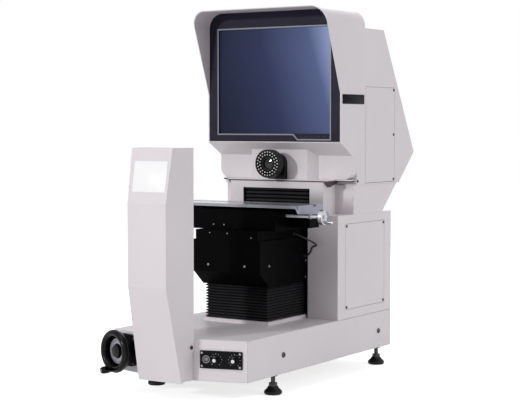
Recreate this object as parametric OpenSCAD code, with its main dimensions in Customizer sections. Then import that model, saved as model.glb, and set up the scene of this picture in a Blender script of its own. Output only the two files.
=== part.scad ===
// Horizontal video comparator: a cast base carries a rear column with a screen head and lens,
// a light tower at the nose, and between them a table that lifts and traverses.
// Modelled with X across, Y back from the screen plane and Z up from the floor.

/* [Base] */
// Width of the base and of the cabinet on it
base_w = 428; // [410:2:440]
// Distance from the screen plane back to the rear of the base
base_back = 317; // [300:1:340]
// Distance from the screen plane forward to the front corners of the base
base_front = 460; // [440:2:490]
// Height of the base casting
base_h = 107; // [100:1:125]
// Wall and deck of the base casting
base_wall = 10; // [7:0.5:14]
// Sweep angle of the two front faces of the base
front_sweep = 16; // [12:1:20]
// Width of the flat nose of the base
nose_w = 154; // [150:1:170]
// Height of the base above the floor
floor_gap = 58; // [50:1:70]

/* [Feet] */
// Diameter of the rubber foot pads
pad_d = 48; // [40:1:60]
// Height of the rubber foot pads
pad_h = 22; // [16:1:26]
// Diameter of the levelling studs
stud_d = 12; // [8:1:16]
// Width across the flats of the lock nuts
nut_af = 22; // [19:1:27]
// Height of the lock nuts
nut_h = 9; // [6:0.5:11]
// Distance from the side of the base in to the feet
foot_side = 32; // [28:1:44]
// Distance from the screen plane forward to the right front foot
foot_front = 288; // [270:1:320]
// Distance from the rear of the base in to the rear feet
foot_rear = 29; // [27:1:50]
// How far the left front foot stands ahead of the right one
foot_stagger = 52; // [0:1:60]
// How far the left front foot stands inside the others
foot_inset = 18; // [0:1:30]

/* [Cabinet] */
// Thickness of the sheet metal casings
sheet = 2.5; // [1.5:0.25:4]
// Height of the cabinet on the base
cabinet_h = 294; // [280:1:305]
// Width of the opening for the carriage in the cabinet front
slot_w = 232; // [226:1:240]
// Length of the removable side panel of the cabinet
panel_l = 232; // [180:1:250]
// Height of the removable side panel of the cabinet
panel_h = 242; // [180:1:250]

/* [Head] */
// Width of the screen head
head_w = 447; // [440:1:470]
// Height of the lower edge of the head above the floor
head_bottom = 542; // [530:1:556]
// Height of the hood roof above the picture
hood_rise = 51; // [40:1:70]
// Radius of the two upper corners of the hood
hood_r = 46; // [20:1:50]
// How far the hood reaches ahead of the screen
hood_reach = 92; // [60:1:120]
// Length of the hood roof behind the screen
hood_back = 136; // [110:1:160]
// Height above the floor where the hood sides start to lean forward
hood_start = 801; // [760:1:840]
// Height of the rear box roof below the hood roof
roof_step = 51; // [30:1:70]
// Distance from the screen plane back to the end of the rear box roof
roof_back = 250; // [220:1:290]
// Distance from the screen plane back to the rearmost corner
head_back = 447; // [420:1:470]
// Height of the rearmost corner above the floor
rear_corner_z = 632; // [600:1:680]
// Slope of the underside behind the column, from level
rear_slope = 42.5; // [38:0.5:48]
// Height of the lower edge of the screen surround above the floor
chin_z = 663; // [655:1:672]
// Height of the lens shroud top above the floor
shroud_top = 626; // [615:1:640]
// Height of the lens shroud bottom above the floor
shroud_bottom = 558; // [557:0.5:565]
// Distance from the screen plane back to the front of the lens shroud
shroud_y = 63; // [52:1:72]
// Depth of the lens shroud
shroud_d = 26; // [20:1:28]
// Radius of the lower corners of the lens shroud
shroud_r = 27; // [10:1:32]

/* [Screen] */
// Width of the picture area
screen_w = 376; // [360:1:384]
// Height of the picture area
screen_h = 301; // [285:1:305]
// Height of the lower edge of the picture above the floor
screen_z = 688; // [685:1:692]
// Width of the bright trim around the picture
trim_w = 4; // [2:0.5:6]
// How far the trim stands ahead of the surround
trim_t = 2; // [1:0.5:4]
// Depth of the screen surround
bezel_d = 30; // [20:1:45]
// How far the trim dips below the picture around the buttons
dip_h = 10.5; // [8:0.5:12]
// Length of the dip around the buttons
dip_w = 111; // [106:1:130]
// Length of a screen button
button_w = 12; // [8:0.5:16]
// Height of a screen button
button_h = 4; // [3:0.5:4.5]
// Pitch of the screen buttons
button_pitch = 20; // [18:0.5:22]
// How far a screen button can be pressed
button_travel = 0.8; // [0.5:0.1:1.2]

/* [Lens] */
// Height of the optical axis above the floor
axis_z = 603; // [600:1:608]
// Width of the lens block front
block_w = 188; // [170:1:200]
// How far the lens block stands ahead of the shroud
block_d = 30; // [24:1:36]
// Angle of the slanted sides of the lens block
block_flare = 34; // [20:1:40]
// Width of the arched lens mount
mount_w = 55; // [50:1:60]
// Depth of the arched lens mount
mount_d = 16; // [10:1:20]
// Diameter of the lens barrel
barrel_d = 52; // [46:1:56]
// Length of the lens barrel between mount and ring light
barrel_l = 26; // [20:1:30]
// Outer diameter of the ring light
ring_d = 81; // [76:1:86]
// Bore of the ring light
ring_bore = 36; // [32:1:42]
// Depth of the ring light
ring_t = 24; // [18:1:30]
// Diameter of the barrel neck inside the head
tube_d = 34; // [30:1:40]

/* [Light tower] */
// Width of the tower at its front
tower_front_w = 121; // [105:1:130]
// Width of the tower at its rear
tower_rear_w = 151; // [140:1:154]
// Distance from the screen plane forward to the tower front
tower_reach = 598; // [580:1:620]
// Height of the tower top above the floor
tower_top = 655; // [645:1:690]
// Height of the lower edge of the tower cover above the floor
tower_bottom = 54; // [45:1:58]
// Height of the upper fold of the tower front
fold_high = 514; // [480:1:550]
// Height of the lower fold of the tower front
fold_low = 302; // [270:1:340]
// Lean of the upper front facet
lean_high = 10; // [5:0.5:14]
// Lean of the lower front facet
lean_low = 12.2; // [8:0.2:13]
// Height of the cover cut-out over the nose casting
cutout_z = 133; // [110:1:150]
// Outer diameter of the collimator
coll_d = 64; // [54:1:72]

/* [Table] */
// Length of the table top
table_l = 420; // [400:2:440]
// Depth of the table top
table_d = 135; // [125:1:145]
// Thickness of the table top
table_t = 8; // [7:0.5:11]
// Height of the table top above the floor
table_z = 497; // [492:1:502]
// Distance from the screen plane forward to the table centre line
table_y = 148; // [146:1:152]
// Width of the fixture slot along the table
slot_key_w = 16; // [12:1:18]
// Depth of the fixture slot
slot_key_d = 5; // [4.5:0.1:5.5]
// Distance between the fixture holes along the table
hole_span_x = 300; // [260:2:340]
// Distance between the fixture holes across the table
hole_span_y = 100; // [80:1:110]
// Diameter of the fixture holes
hole_d = 5; // [4:0.1:6]
// Width of the slide beam under the table
beam_w = 50; // [46:1:54]
// Height of the slide beam under the table
beam_h = 57; // [52:1:60]
// Length of the saddle
saddle_l = 274; // [250:2:290]

/* [Carriage] */
// Width of the lifting carriage
carriage_w = 220; // [210:1:224]
// Distance from the screen plane forward to the carriage front
carriage_front = 240; // [230:1:250]
// Height of the carriage bottom above the floor
carriage_z = 270; // [264:1:276]
// Height of the foot of the carriage front
chamfer_h = 40; // [30:1:50]
// Height of the shoulder of the carriage above the floor
shoulder_z = 398; // [380:1:410]
// Height of the carriage top above the floor
carriage_top = 425; // [420:0.5:426]
// Wall of the carriage housing
carriage_wall = 6; // [4:0.5:8]
// Width of the bellows skirt
bellows_w = 209; // [196:1:212]
// Distance from the screen plane forward to the bellows front
bellows_front = 193; // [185:1:200]
// Number of bellows folds
bellows_folds = 12; // [8:1:14]
// Depth of a bellows fold
fold_d = 7; // [4:0.5:9]
// Wall of the bellows
bellows_wall = 2; // [1.5:0.25:2.5]

/* [Lift drive] */
// Diameter of the lift handwheel
wheel_d = 115; // [105:1:125]
// Thickness of the handwheel rim
rim_t = 19; // [16:0.5:22]
// Height of the handwheel axis above the floor
wheel_z = 116; // [112:1:120]
// Diameter of the lift shaft
shaft_d = 18; // [14:0.5:22]
// Distance from the lift shaft axis to the lift screw axis
worm_offset = 40; // [36:1:44]
// Distance from the screen plane forward to the lift screw axis
screw_y = 95; // [88:1:102]
// Diameter of the lift screw
screw_d = 20; // [16:0.5:24]
// Size of the square bearing flange behind the handwheel
flange_w = 84; // [78:1:90]
// Outer diameter of the bright dial ring
dial_d = 67; // [60:1:72]
// Inner diameter of the bright dial ring
dial_bore = 40; // [36:1:44]
// Diameter of the handwheel grip
grip_d = 20; // [16:0.5:24]
// Length of the handwheel grip
grip_l = 27; // [22:1:34]

/* [Cross drive] */
// Diameter of the cross feed rod
rod_d = 8; // [6:0.5:10]
// Diameter of the cross feed handwheel
x_wheel_d = 42; // [36:1:48]
// Thickness of the cross feed handwheel
x_wheel_t = 14; // [10:1:20]
// Distance from the table end to the cross feed handwheel
x_wheel_gap = 36; // [28:1:44]
// Diameter of the cross feed grip
x_grip_d = 9; // [7:0.5:11]
// Length of the cross feed grip
x_grip_l = 20; // [16:1:30]

/* [Control panel] */
// Width of the control panel
ctrl_w = 114; // [108:1:118]
// Height of the control panel
ctrl_h = 46; // [44:1:56]
// Thickness of the control panel
ctrl_t = 3; // [2:0.5:5]
// Diameter of the lamp knobs
knob_d = 22; // [18:0.5:24]
// Height of the lamp knobs
knob_h = 13; // [10:0.5:16]
// Distance between the lamp knobs
knob_pitch = 50; // [46:1:54]
// Diameter of the round socket
socket_d = 20; // [16:0.5:21]

/* [Hidden] */
$fn = 64;
// Clearances: between pieces that move apart, between fixed pieces, and round a running shaft
gap = 0.3;
seam = 0.4;
fit = 0.05;
panel_gap = 1.1;
groove = 1.2;
far = 2000;

head_top = screen_z + screen_h + hood_rise;
base_z = floor_gap;
base_top = base_z + base_h;
foot_x = base_w / 2 - foot_side;
foot_back = base_back - foot_rear;
nose_half = nose_w / 2;
nose_y = -base_front - (base_w / 2 - nose_half) * tan(front_sweep);
cabinet_top = base_top + cabinet_h;

// Turning by the sweep lines the lift axis up with the normal of the left front face
lift_face = base_w / 2 * sin(front_sweep) + (base_front - screw_y) * cos(front_sweep);
flange_t = 10;
hub_gap = 1;
wheel_back = lift_face + flange_t + hub_gap;
wheel_web = 8;
wheel_dish = 15;
shaft_tail = 26;
wheel_face = wheel_dish + wheel_web;
dial_t = 4;
rim_rise = 9;
rim_z = wheel_face + dial_t + rim_rise;
rim_r = wheel_d / 2 - rim_t / 2;
hub_rise = 11;
cap_t = 4;
handle_r = rim_r;
handle_turn = -98;
pin_d = 7;

deck_z = base_top - base_wall;
box_t = 14;
box_h = deck_z - base_z - 12;
plinth_h = 10;

bellows_z = base_top + plinth_h;
bellows_back = 18;
carriage_back = 14;
carriage_neck = 8;
arm_w = 190;
arm_back = 58;
arm_z = 306;
nut_h2 = 35;
shelf_t = 10;
shelf_half = 40;
shelf_z = arm_z + 14;
screw_room = 55;
screw_top = carriage_top - carriage_wall - screw_room;

column_w = 190;
column_y = 110;
column_d = 140;
column_flange = 8;
rail_w = 20;
rail_d = 18;
rail_x = 68;
block_l = 50;

neck_w = base_w + 4;
neck_y = 86;
cover_w = 314;
cover_y = carriage_back + 1;
window_w = 225;
window_top = head_bottom - 10;
plate_t = 7;
cover_top = shroud_bottom - plate_t;

table_under = table_z - table_t;
rod_drop = 24;
rod_z = table_under - rod_drop;
rod_y = -table_y;
beam_shift = 43;
beam_y = -table_y + beam_shift;
saddle_front = 57;
saddle_rear = 20;
saddle_gap = 8;
saddle_z = carriage_top;
beam_z = table_under - beam_h;
wheel_x = table_l / 2 + x_wheel_gap;
end_t = 5;
end_inset = 6;
end_wedge = 8;
end_rise = 7;
lug_wall = 2.5;
beam_end = 10;
slot_shift = 18;
slot_y = -table_y + slot_shift;
lug_r = rod_d / 2 + lug_wall;

x_handle_r = x_wheel_d / 2 - x_grip_d / 2 - 2;
x_handle_end = wheel_x + x_wheel_t + gap + x_grip_l;

// The origin is under the middle of the outline, on the floor
centre_x = (x_handle_end - head_w / 2) / 2;
centre_y = (head_back - tower_reach) / 2;

paint = [0.82, 0.79, 0.81];
black = [0.05, 0.05, 0.06];
steel = [0.75, 0.75, 0.78];
alloy = [0.60, 0.61, 0.70];
dark = [0.17, 0.17, 0.22];

// Outlines

// Moves every corner of a counter-clockwise outline inwards by t
function along(a, b) = (b - a) / norm(b - a);
function left_of(d) = [-d[1], d[0]];
function inset(p, t) = [
    for (i = [0:len(p) - 1])
        let (
            a = p[(i + len(p) - 1) % len(p)],
            c = p[(i + 1) % len(p)],
            n1 = left_of(along(a, p[i])),
            n2 = left_of(along(p[i], c))
        )
        p[i] + t * (n1 + n2) / (1 + n1 * n2)
];

// Solids from an outline in Y and Z, and from an outline in X and Z
module across(w) {
    rotate([90, 0, 90]) translate([0, 0, -w / 2]) linear_extrude(w) children();
}

module back(y0, y1) {
    translate([0, y1, 0]) rotate([90, 0, 0]) linear_extrude(y1 - y0) children();
}

// A turned part: outline of radius and height, with its axis along +Y from the given place
module turned(at) {
    translate(at) rotate([-90, 0, 0]) rotate_extrude() children();
}

module box(low, high) {
    translate(low) cube(high - low);
}

module both_sides() {
    children();
    mirror([1, 0, 0]) children();
}

// A rectangle with round corners, centred
module round_rect(w, h, r) {
    square([w - 2 * r, h], center = true);
    square([w, h - 2 * r], center = true);
    for (x = [-1, 1], y = [-1, 1]) {
        translate([x * (w / 2 - r), y * (h / 2 - r)]) circle(r);
    }
}

// Base

base_plan = [
    [-base_w / 2, base_back], [-base_w / 2, -base_front], [-nose_half, nose_y],
    [nose_half, nose_y], [base_w / 2, -base_front], [base_w / 2, base_back]
];
feet = [
    [foot_x, -foot_front], [-foot_x + foot_inset, -foot_front - foot_stagger],
    [foot_x, foot_back], [-foot_x, foot_back]
];
boss_wall = 10;
boss_d = stud_d + 2 * boss_wall;
crown = 5;
stud_in = 40;

module on_lift_axis() {
    translate([0, -screw_y, 0]) rotate([0, 0, -front_sweep]) children();
}

module on_right_face() {
    translate([base_w / 2, -base_front, 0]) rotate([0, 0, front_sweep]) children();
}

module bellows_ring(grow) {
    polygon([
        [-bellows_w / 2 - grow, -bellows_front - grow], [bellows_w / 2 + grow, -bellows_front - grow],
        [bellows_w / 2 + grow, bellows_back + grow], [-bellows_w / 2 - grow, bellows_back + grow]
    ]);
}

module base_frame() {
    rim = 4;
    color(paint) difference() {
        union() {
            translate([0, 0, base_z]) linear_extrude(base_h) polygon(base_plan);
            translate([0, 0, base_top - 1]) linear_extrude(plinth_h + 1) bellows_ring(rim);
        }
        difference() {
            translate([0, 0, base_z - 1]) linear_extrude(base_h - base_wall + 1)
                polygon(inset(base_plan, base_wall));
            for (f = feet) {
                translate([f[0], f[1], base_z - 1]) cylinder(d = boss_d, h = base_h);
            }
        }
        for (f = feet) {
            translate([f[0], f[1], base_z - 1]) cylinder(d = stud_d + 2 * fit, h = base_h - base_wall);
        }
        translate([0, 0, base_top]) linear_extrude(plinth_h + 1) bellows_ring(-2 * fold_d);
        both_sides() box([base_w / 2 - groove, -groove, base_top - groove], [far, far, base_top + 1]);
        translate([0, -screw_y, deck_z - 1]) cylinder(d = screw_d + 2, h = base_wall + 2);
        on_lift_axis() translate([-worm_offset, -lift_face - 1, wheel_z])
            rotate([-90, 0, 0]) cylinder(d = shaft_d + 6, h = base_wall * 2);
    }
}

module base_plate() {
    plate = 3;
    color([0.3, 0.3, 0.32]) difference() {
        translate([0, 0, base_z]) linear_extrude(plate) polygon(inset(base_plan, base_wall + seam));
        for (f = feet) {
            translate([f[0], f[1], base_z - 1]) cylinder(d = boss_d + 2 * seam, h = plate + 2);
        }
    }
}

// Feet

module foot_pads() {
    neck_d = stud_d + 14;
    color(black) for (f = feet) {
        translate([f[0], f[1], 0]) rotate_extrude() difference() {
            polygon([
                [0, 0], [pad_d / 2 - 3, 0], [pad_d / 2, 3], [pad_d / 2, pad_h - crown - 8],
                [neck_d / 2 + 3, pad_h - crown], [neck_d / 2, pad_h], [0, pad_h]
            ]);
            translate([0, pad_h - crown]) square([stud_d / 2 + fit, crown + 1]);
        }
    }
}

module foot_hardware() {
    color(steel) for (f = feet) {
        translate([f[0], f[1], pad_h - crown])
            cylinder(d = stud_d, h = base_z - pad_h + crown + stud_in);
        for (z = [pad_h, base_z - nut_h]) {
            translate([f[0], f[1], z]) difference() {
                cylinder(d = nut_af / cos(30), h = nut_h, $fn = 6);
                translate([0, 0, -1]) cylinder(d = stud_d + 2 * fit, h = nut_h + 2);
            }
        }
    }
}

// Fasteners on the casings: pan heads that sit on the sheet

screw_head = 8;
screw_rise = 2.5;
bolt_head = 15;

module pan_head(d, rise) {
    recess = d / 5;
    rotate_extrude() polygon([
        [recess, 0], [d / 2, 0], [d / 2, rise / 2], [d / 3, rise], [recess, rise],
        [recess, rise / 3], [0, rise / 3], [0, 0]
    ]);
}

module on_side(x, y, z, d = screw_head, rise = screw_rise) {
    translate([x, y, z]) rotate([0, 90, 0]) pan_head(d, rise);
}

panel_front = 43.5;
panel_y = panel_front + panel_l / 2;
panel_z = base_top + cabinet_h / 2;
screw_edge = 6;
bolt_back = 76;
bolt_rise = 4;
ctrl_edge = 6;
flange_edge = 10;
flange_pcd = flange_w - 2 * flange_edge;

module casing_screws() {
    color([0.25, 0.25, 0.27]) {
        both_sides() {
            for (y = [-1, 1], z = [-1, 1]) {
                on_side(
                    base_w / 2, panel_y + y * (panel_l / 2 - screw_edge),
                    panel_z + z * (panel_h / 2 - screw_edge));
            }
            for (z = [head_panel_low + screw_edge, head_panel_mid, head_panel_high - screw_edge]) {
                on_side(head_w / 2, head_panel_back - screw_edge, z);
            }
            on_side(head_w / 2, shroud_back + screw_edge, head_panel_low + screw_edge);
            for (y = [-foot_front, base_back - bolt_back]) {
                on_side(base_w / 2, y, base_z + base_h / 2 - bolt_rise, bolt_head, bolt_rise);
            }
        }
        on_lift_axis() for (x = [-1, 1], z = [-1, 1]) {
            translate([-worm_offset + x * flange_pcd / 2, -lift_face - flange_t,
                wheel_z + z * flange_pcd / 2])
                rotate([90, 0, 0]) pan_head(screw_head, screw_rise);
        }
        on_right_face() for (x = [-1, 1], z = [-1, 1]) {
            translate([ctrl_x + x * (ctrl_w / 2 - ctrl_edge), -ctrl_t,
                ctrl_z + z * (ctrl_h / 2 - ctrl_edge)])
                rotate([90, 0, 0]) pan_head(screw_head - 1, screw_rise);
        }
    }
}

// Cabinet

module cabinet_shell() {
    roof_edge = 20;
    roof_w = cover_w - 2 * roof_edge;
    door_w = door_l - 2 * door_lap;
    color(paint) difference() {
        box([-base_w / 2, 0, base_top], [base_w / 2, base_back, cabinet_top]);
        box([-base_w / 2 + sheet, sheet, base_top - 1],
            [base_w / 2 - sheet, base_back - sheet, cabinet_top - sheet]);
        box([-slot_w / 2, -1, base_top - 1], [slot_w / 2, sheet + 1, cabinet_top + 1]);
        box([-roof_w / 2, cover_y + 10, cabinet_top - sheet - 1],
            [roof_w / 2, column_y + column_d + 10, cabinet_top + 1]);
        box([-slot_w / 2, -1, cabinet_top - sheet - 1], [slot_w / 2, cover_y + 11, cabinet_top + 1]);
        both_sides() box(
            [base_w / 2 - sheet - 1, panel_y - panel_l / 2 - panel_gap,
                panel_z - panel_h / 2 - panel_gap],
            [base_w / 2 + 1, panel_y + panel_l / 2 + panel_gap,
                panel_z + panel_h / 2 + panel_gap]);
        box([-door_w / 2, base_back - sheet - 1, door_z - door_h / 2 + door_lap],
            [door_w / 2, base_back + 1, door_z + door_h / 2 - door_lap]);
    }
}

// A flush panel with a lip behind the sheet that it closes
module flush_panel(x, y0, y1, z0, z1) {
    lip = 8;
    lip_t = 2;
    box([x - sheet, y0, z0], [x, y1, z1]);
    box([x - sheet - lip_t, y0 - lip, z0 - lip], [x - sheet, y1 + lip, z1 + lip]);
}

module cabinet_side_panels() {
    color(paint) both_sides() flush_panel(
        base_w / 2, panel_y - panel_l / 2, panel_y + panel_l / 2,
        panel_z - panel_h / 2, panel_z + panel_h / 2);
}

door_l = 320;
door_h = 230;
door_z = base_top + cabinet_h / 2;
door_lap = 10;

module rear_door() {
    door_t = 2;
    rib_l = 90;
    rib_pitch = 14;
    rib_d = 9;
    color(paint) {
        box([-door_l / 2, base_back, door_z - door_h / 2],
            [door_l / 2, base_back + door_t, door_z + door_h / 2]);
        for (i = [-2:2], x = [-1, 1]) {
            translate([x * door_l / 4 - rib_l / 2, base_back + door_t, door_z + i * rib_pitch])
                rotate([0, 90, 0]) intersection() {
                    cylinder(d = rib_d, h = rib_l);
                    box([0, 0, 0], [rib_d, rib_d, rib_l]);
                }
        }
    }
}

// Column, neck and guides

module column() {
    wall = 12;
    top = head_bottom + sheet;
    flange_grow = 40;
    color([0.45, 0.46, 0.48]) difference() {
        union() {
            box([-column_w / 2, column_y, base_top],
                [column_w / 2, column_y + column_d, top + column_flange]);
            box([-column_w / 2 - flange_grow, column_y - 12, top],
                [column_w / 2 + flange_grow, column_y + column_d + flange_grow, top + column_flange]);
        }
        box([-column_w / 2 + wall, column_y + wall, base_top - 1],
            [column_w / 2 - wall, column_y + column_d - wall, top - wall]);
    }
}

module neck_housing() {
    reach = (head_bottom - cabinet_top) / tan(rear_slope);
    slant = head_low_back;
    profile = [
        [neck_y, cabinet_top], [slant - reach, cabinet_top], [slant, head_bottom], [neck_y, head_bottom]
    ];
    skin = sheet / sin(rear_slope);
    over = 1 / tan(rear_slope);
    inner = [
        [neck_y + sheet, cabinet_top - 1], [slant - reach - skin - over, cabinet_top - 1],
        [slant - skin + over, head_bottom + 1], [neck_y + sheet, head_bottom + 1]
    ];
    color(paint) difference() {
        across(neck_w) polygon(profile);
        across(neck_w - 2 * sheet) polygon(inner);
        box([-cover_w / 2 + sheet, neck_y - 1, cabinet_top - 1],
            [cover_w / 2 - sheet, neck_y + sheet + 1, head_bottom + 1]);
    }
}

module guide_cover() {
    color(paint) difference() {
        box([-cover_w / 2, cover_y, cabinet_top], [cover_w / 2, neck_y, cover_top]);
        box([-cover_w / 2 + sheet, cover_y + sheet, cabinet_top - 1],
            [cover_w / 2 - sheet, neck_y + 1, cover_top - sheet]);
        box([-window_w / 2, cover_y - 1, cabinet_top - 1],
            [window_w / 2, cover_y + sheet + 1, window_top]);
    }
}

// Zigzag outline between two heights: folds on the low side, and on the high side as well if both is set
function zigzag(a, b, z0, z1, n, d, both) = concat(
    [for (i = [0:2 * n]) [a + (i % 2 == 0 ? d : 0), z1 - (z1 - z0) * i / (2 * n)]],
    [for (i = [0:2 * n]) [b - (both && i % 2 == 0 ? d : 0), z0 + (z1 - z0) * i / (2 * n)]]
);

module upper_bellows() {
    folds = 10;
    depth = 24;
    front = cover_y + sheet + gap;
    color(black) across(window_w - 11)
        polygon(zigzag(front, front + depth, carriage_top + gap, window_top - gap, folds, fold_d, false));
}

module guide_rails() {
    rail_z = base_top + 20;
    color(steel) both_sides() box(
        [rail_x - rail_w / 2, column_y - rail_d, rail_z],
        [rail_x + rail_w / 2, column_y, head_bottom - 10]);
}

module guide_blocks() {
    bite = 9;
    grow = 11;
    color([0.55, 0.56, 0.58]) both_sides() for (z = [arm_z + 4, carriage_top - block_l - 4]) {
        difference() {
            box([rail_x - rail_w / 2 - grow, arm_back, z],
                [rail_x + rail_w / 2 + grow, column_y - rail_d + bite, z + block_l]);
            box([rail_x - rail_w / 2 - gap, column_y - rail_d - gap, z - 1],
                [rail_x + rail_w / 2 + gap, column_y + 1, z + block_l + 1]);
        }
    }
}

// Head

lip = 2;
head_low_back = head_back - (rear_corner_z - head_bottom) / tan(rear_slope);
shroud_back = shroud_y + shroud_d;
head_profile = [
    [shroud_back, head_bottom], [head_low_back, head_bottom], [head_back, rear_corner_z],
    [roof_back, head_top - roof_step], [hood_back, head_top - roof_step], [hood_back, head_top],
    [-hood_reach, head_top], [-lip, hood_start], [-lip, chin_z],
    [shroud_y, shroud_top], [shroud_back, shroud_top]
];
head_panel_low = head_bottom + 5;
head_panel_high = 822;
head_panel_mid = (head_panel_low + head_panel_high) / 2;
head_panel_front = 143;
head_panel_back = 320;

// Front view of the head with round upper corners, inset by t and starting at height z0
module head_front(t, z0) {
    r = hood_r - t;
    half = head_w / 2 - t;
    translate([-half, z0]) square([2 * half, head_top - hood_r - z0]);
    translate([-half + r, z0]) square([2 * (half - r), head_top - t - z0]);
    for (x = [-1, 1]) {
        translate([x * (half - r), head_top - hood_r]) circle(r);
    }
}

module head_shell() {
    opening_w = column_w + 20;
    bore = tube_d + 8;
    color(paint) difference() {
        intersection() {
            across(head_w) polygon(head_profile);
            back(-hood_reach - 1, head_back + 1) head_front(0, head_bottom);
        }
        intersection() {
            across(head_w) polygon(inset(head_profile, sheet));
            back(-hood_reach - 1, head_back + 1) head_front(sheet, head_bottom);
        }
        back(-hood_reach - 1, bezel_d) head_front(sheet, chin_z + sheet);
        box([-opening_w / 2, shroud_back + 6, head_bottom - 1],
            [opening_w / 2, column_y + column_d + 20, head_bottom + sheet + 0.01]);
        both_sides() box(
            [head_w / 2 - sheet - 1, head_panel_front - panel_gap, head_panel_low - panel_gap],
            [head_w / 2 + 1, head_panel_back + panel_gap, head_panel_high + panel_gap]);
        translate([0, shroud_back - 1, axis_z]) rotate([-90, 0, 0]) cylinder(d = bore, h = sheet + 2);
    }
}

module head_side_panels() {
    lip_h = 8;
    lip_t = 2;
    color(paint) both_sides() {
        box([head_w / 2 - sheet, head_panel_front, head_panel_low],
            [head_w / 2, head_panel_back, head_panel_high]);
        box([head_w / 2 - sheet - lip_t, head_panel_front - lip_h, head_panel_low],
            [head_w / 2 - sheet, head_panel_back + lip_h, head_panel_high + lip_h]);
    }
}

// Front view of the lens shroud with round lower corners, inset by t
module shroud_front(t) {
    r = shroud_r - t;
    half = head_w / 2 - t;
    low = shroud_bottom + t;
    translate([-half, low + r]) square([2 * half, shroud_top - low - r]);
    translate([-half + r, low]) square([2 * (half - r), shroud_top - low]);
    for (x = [-1, 1]) {
        translate([x * (half - r), low + r]) circle(r);
    }
}

module lens_shroud() {
    bore = tube_d + 8;
    color(paint) difference() {
        back(shroud_y, shroud_back) shroud_front(0);
        back(shroud_y + sheet, shroud_back + 1) intersection() {
            shroud_front(sheet);
            translate([-head_w / 2, 0]) square([head_w, shroud_top - sheet]);
        }
        translate([0, shroud_y - 1, axis_z]) rotate([-90, 0, 0]) cylinder(d = bore, h = sheet + 2);
    }
}

// Plate under the lens: a nose over the guide cover, with a gusset on each flank of that cover
plate_lap = 11;
plate_nose = cover_y + 3;
plate_side = 8;
gusset_t = 9;
gusset_h = 14;

module head_base_plate() {
    half = cover_w / 2;
    tip = cover_y + (neck_y - cover_y) / 3;
    color([0.3, 0.29, 0.28]) {
        box([-half - plate_lap, plate_nose, cover_top], [half + plate_lap, shroud_back, shroud_bottom]);
        box([-head_w / 2 + plate_side, shroud_y + sheet, cover_top],
            [head_w / 2 - plate_side, shroud_back, shroud_bottom]);
        both_sides() translate([half + gap + gusset_t / 2, 0, 0]) across(gusset_t) polygon([
            [plate_nose, cover_top + 1], [plate_nose, cover_top - 1], [tip, cover_top - gusset_h],
            [neck_y - gap, cover_top - 1], [neck_y - gap, cover_top + 1]
        ]);
    }
}

// Screen

dip_x = screen_w / 2 + trim_w - dip_w;
button_x = screen_w / 2 - 18;
button_z = screen_z - trim_w - dip_h / 2 + 1;

module screen_opening(grow) {
    translate([-screen_w / 2 - grow, screen_z - grow]) square([screen_w + 2 * grow, screen_h + 2 * grow]);
}

module button_at(i) {
    translate([button_x - i * button_pitch, 0, button_z]) children();
}

module monitor_bezel() {
    slack = 0.2;
    color(dark) difference() {
        back(0, bezel_d) head_front(sheet + seam, chin_z + sheet + seam);
        back(-1, bezel_d + 1) screen_opening(0);
        for (i = [0:4]) {
            button_at(i) box(
                [-button_w / 2 - slack, -1, -button_h / 2 - slack],
                [button_w / 2 + slack, bezel_d + 1, button_h / 2 + slack]);
        }
    }
}

// Bright frame round the picture, dropping below it at the buttons
module trim_outline() {
    low = screen_z - trim_w;
    right = screen_w / 2 + trim_w;
    high = screen_z + screen_h + trim_w;
    drop = dip_h + trim_w;
    outer = [
        [-right, low], [dip_x - drop, low], [dip_x, low - drop],
        [right, low - drop], [right, high], [-right, high]
    ];
    inner = [
        [-right + trim_w, low + trim_w], [dip_x - drop + trim_w / 2, low + trim_w],
        [dip_x + trim_w / 2, low - drop + trim_w], [right - trim_w, low - drop + trim_w],
        [right - trim_w, high - trim_w], [-right + trim_w, high - trim_w]
    ];
    difference() {
        polygon(outer);
        polygon(inner);
    }
}

module trim_frame() {
    color(steel) back(-trim_t, 0) trim_outline();
}

module screen_panel() {
    recess = 3;
    panel_t = 18;
    lap = 8;
    color([0.16, 0.19, 0.33]) {
        back(recess, bezel_d) screen_opening(-seam);
        back(bezel_d, bezel_d + panel_t) screen_opening(lap);
    }
}

module screen_button(i) {
    rise = 1.5;
    stem = 18;
    color(black) button_at(i) box(
        [-button_w / 2, -rise, -button_h / 2], [button_w / 2, stem, button_h / 2]);
}

module button_1() {
    screen_button(4);
}

module button_2() {
    screen_button(3);
}

module button_3() {
    screen_button(2);
}

module button_4() {
    screen_button(1);
}

module button_5() {
    screen_button(0);
}

// Lens

block_y = shroud_y - block_d;
bevel_rise = (chin_z - shroud_top) / (shroud_y + lip);
mount_y = block_y - mount_d;
barrel_y = mount_y - barrel_l;
ring_y = barrel_y - ring_t;
nose_in = 4;
camera_y = column_y - 8;
glass_edge = 6;

module lens_block() {
    flare = block_d * tan(block_flare);
    color(paint) difference() {
        translate([0, 0, shroud_bottom]) linear_extrude(chin_z - shroud_bottom) polygon([
            [-block_w / 2, block_y], [block_w / 2, block_y],
            [block_w / 2 + flare, shroud_y], [-block_w / 2 - flare, shroud_y]
        ]);
        across(far) polygon([
            [shroud_y + 1, shroud_top - bevel_rise], [shroud_y + 1, chin_z + 1], [-lip - 1, chin_z + 1],
            [-lip - 1, chin_z + bevel_rise]
        ]);
        translate([0, block_y - 1, axis_z]) rotate([-90, 0, 0])
            cylinder(d = tube_d + 2 * fit, h = block_d + 2);
    }
}

module lens_mount() {
    color(black) difference() {
        back(mount_y, block_y) {
            translate([0, axis_z]) circle(d = mount_w);
            translate([-mount_w / 2, shroud_bottom]) square([mount_w, axis_z - shroud_bottom]);
        }
        translate([0, mount_y - 1, axis_z]) rotate([-90, 0, 0])
            cylinder(d = tube_d + 2 * fit, h = mount_d + 2);
    }
}

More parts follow.
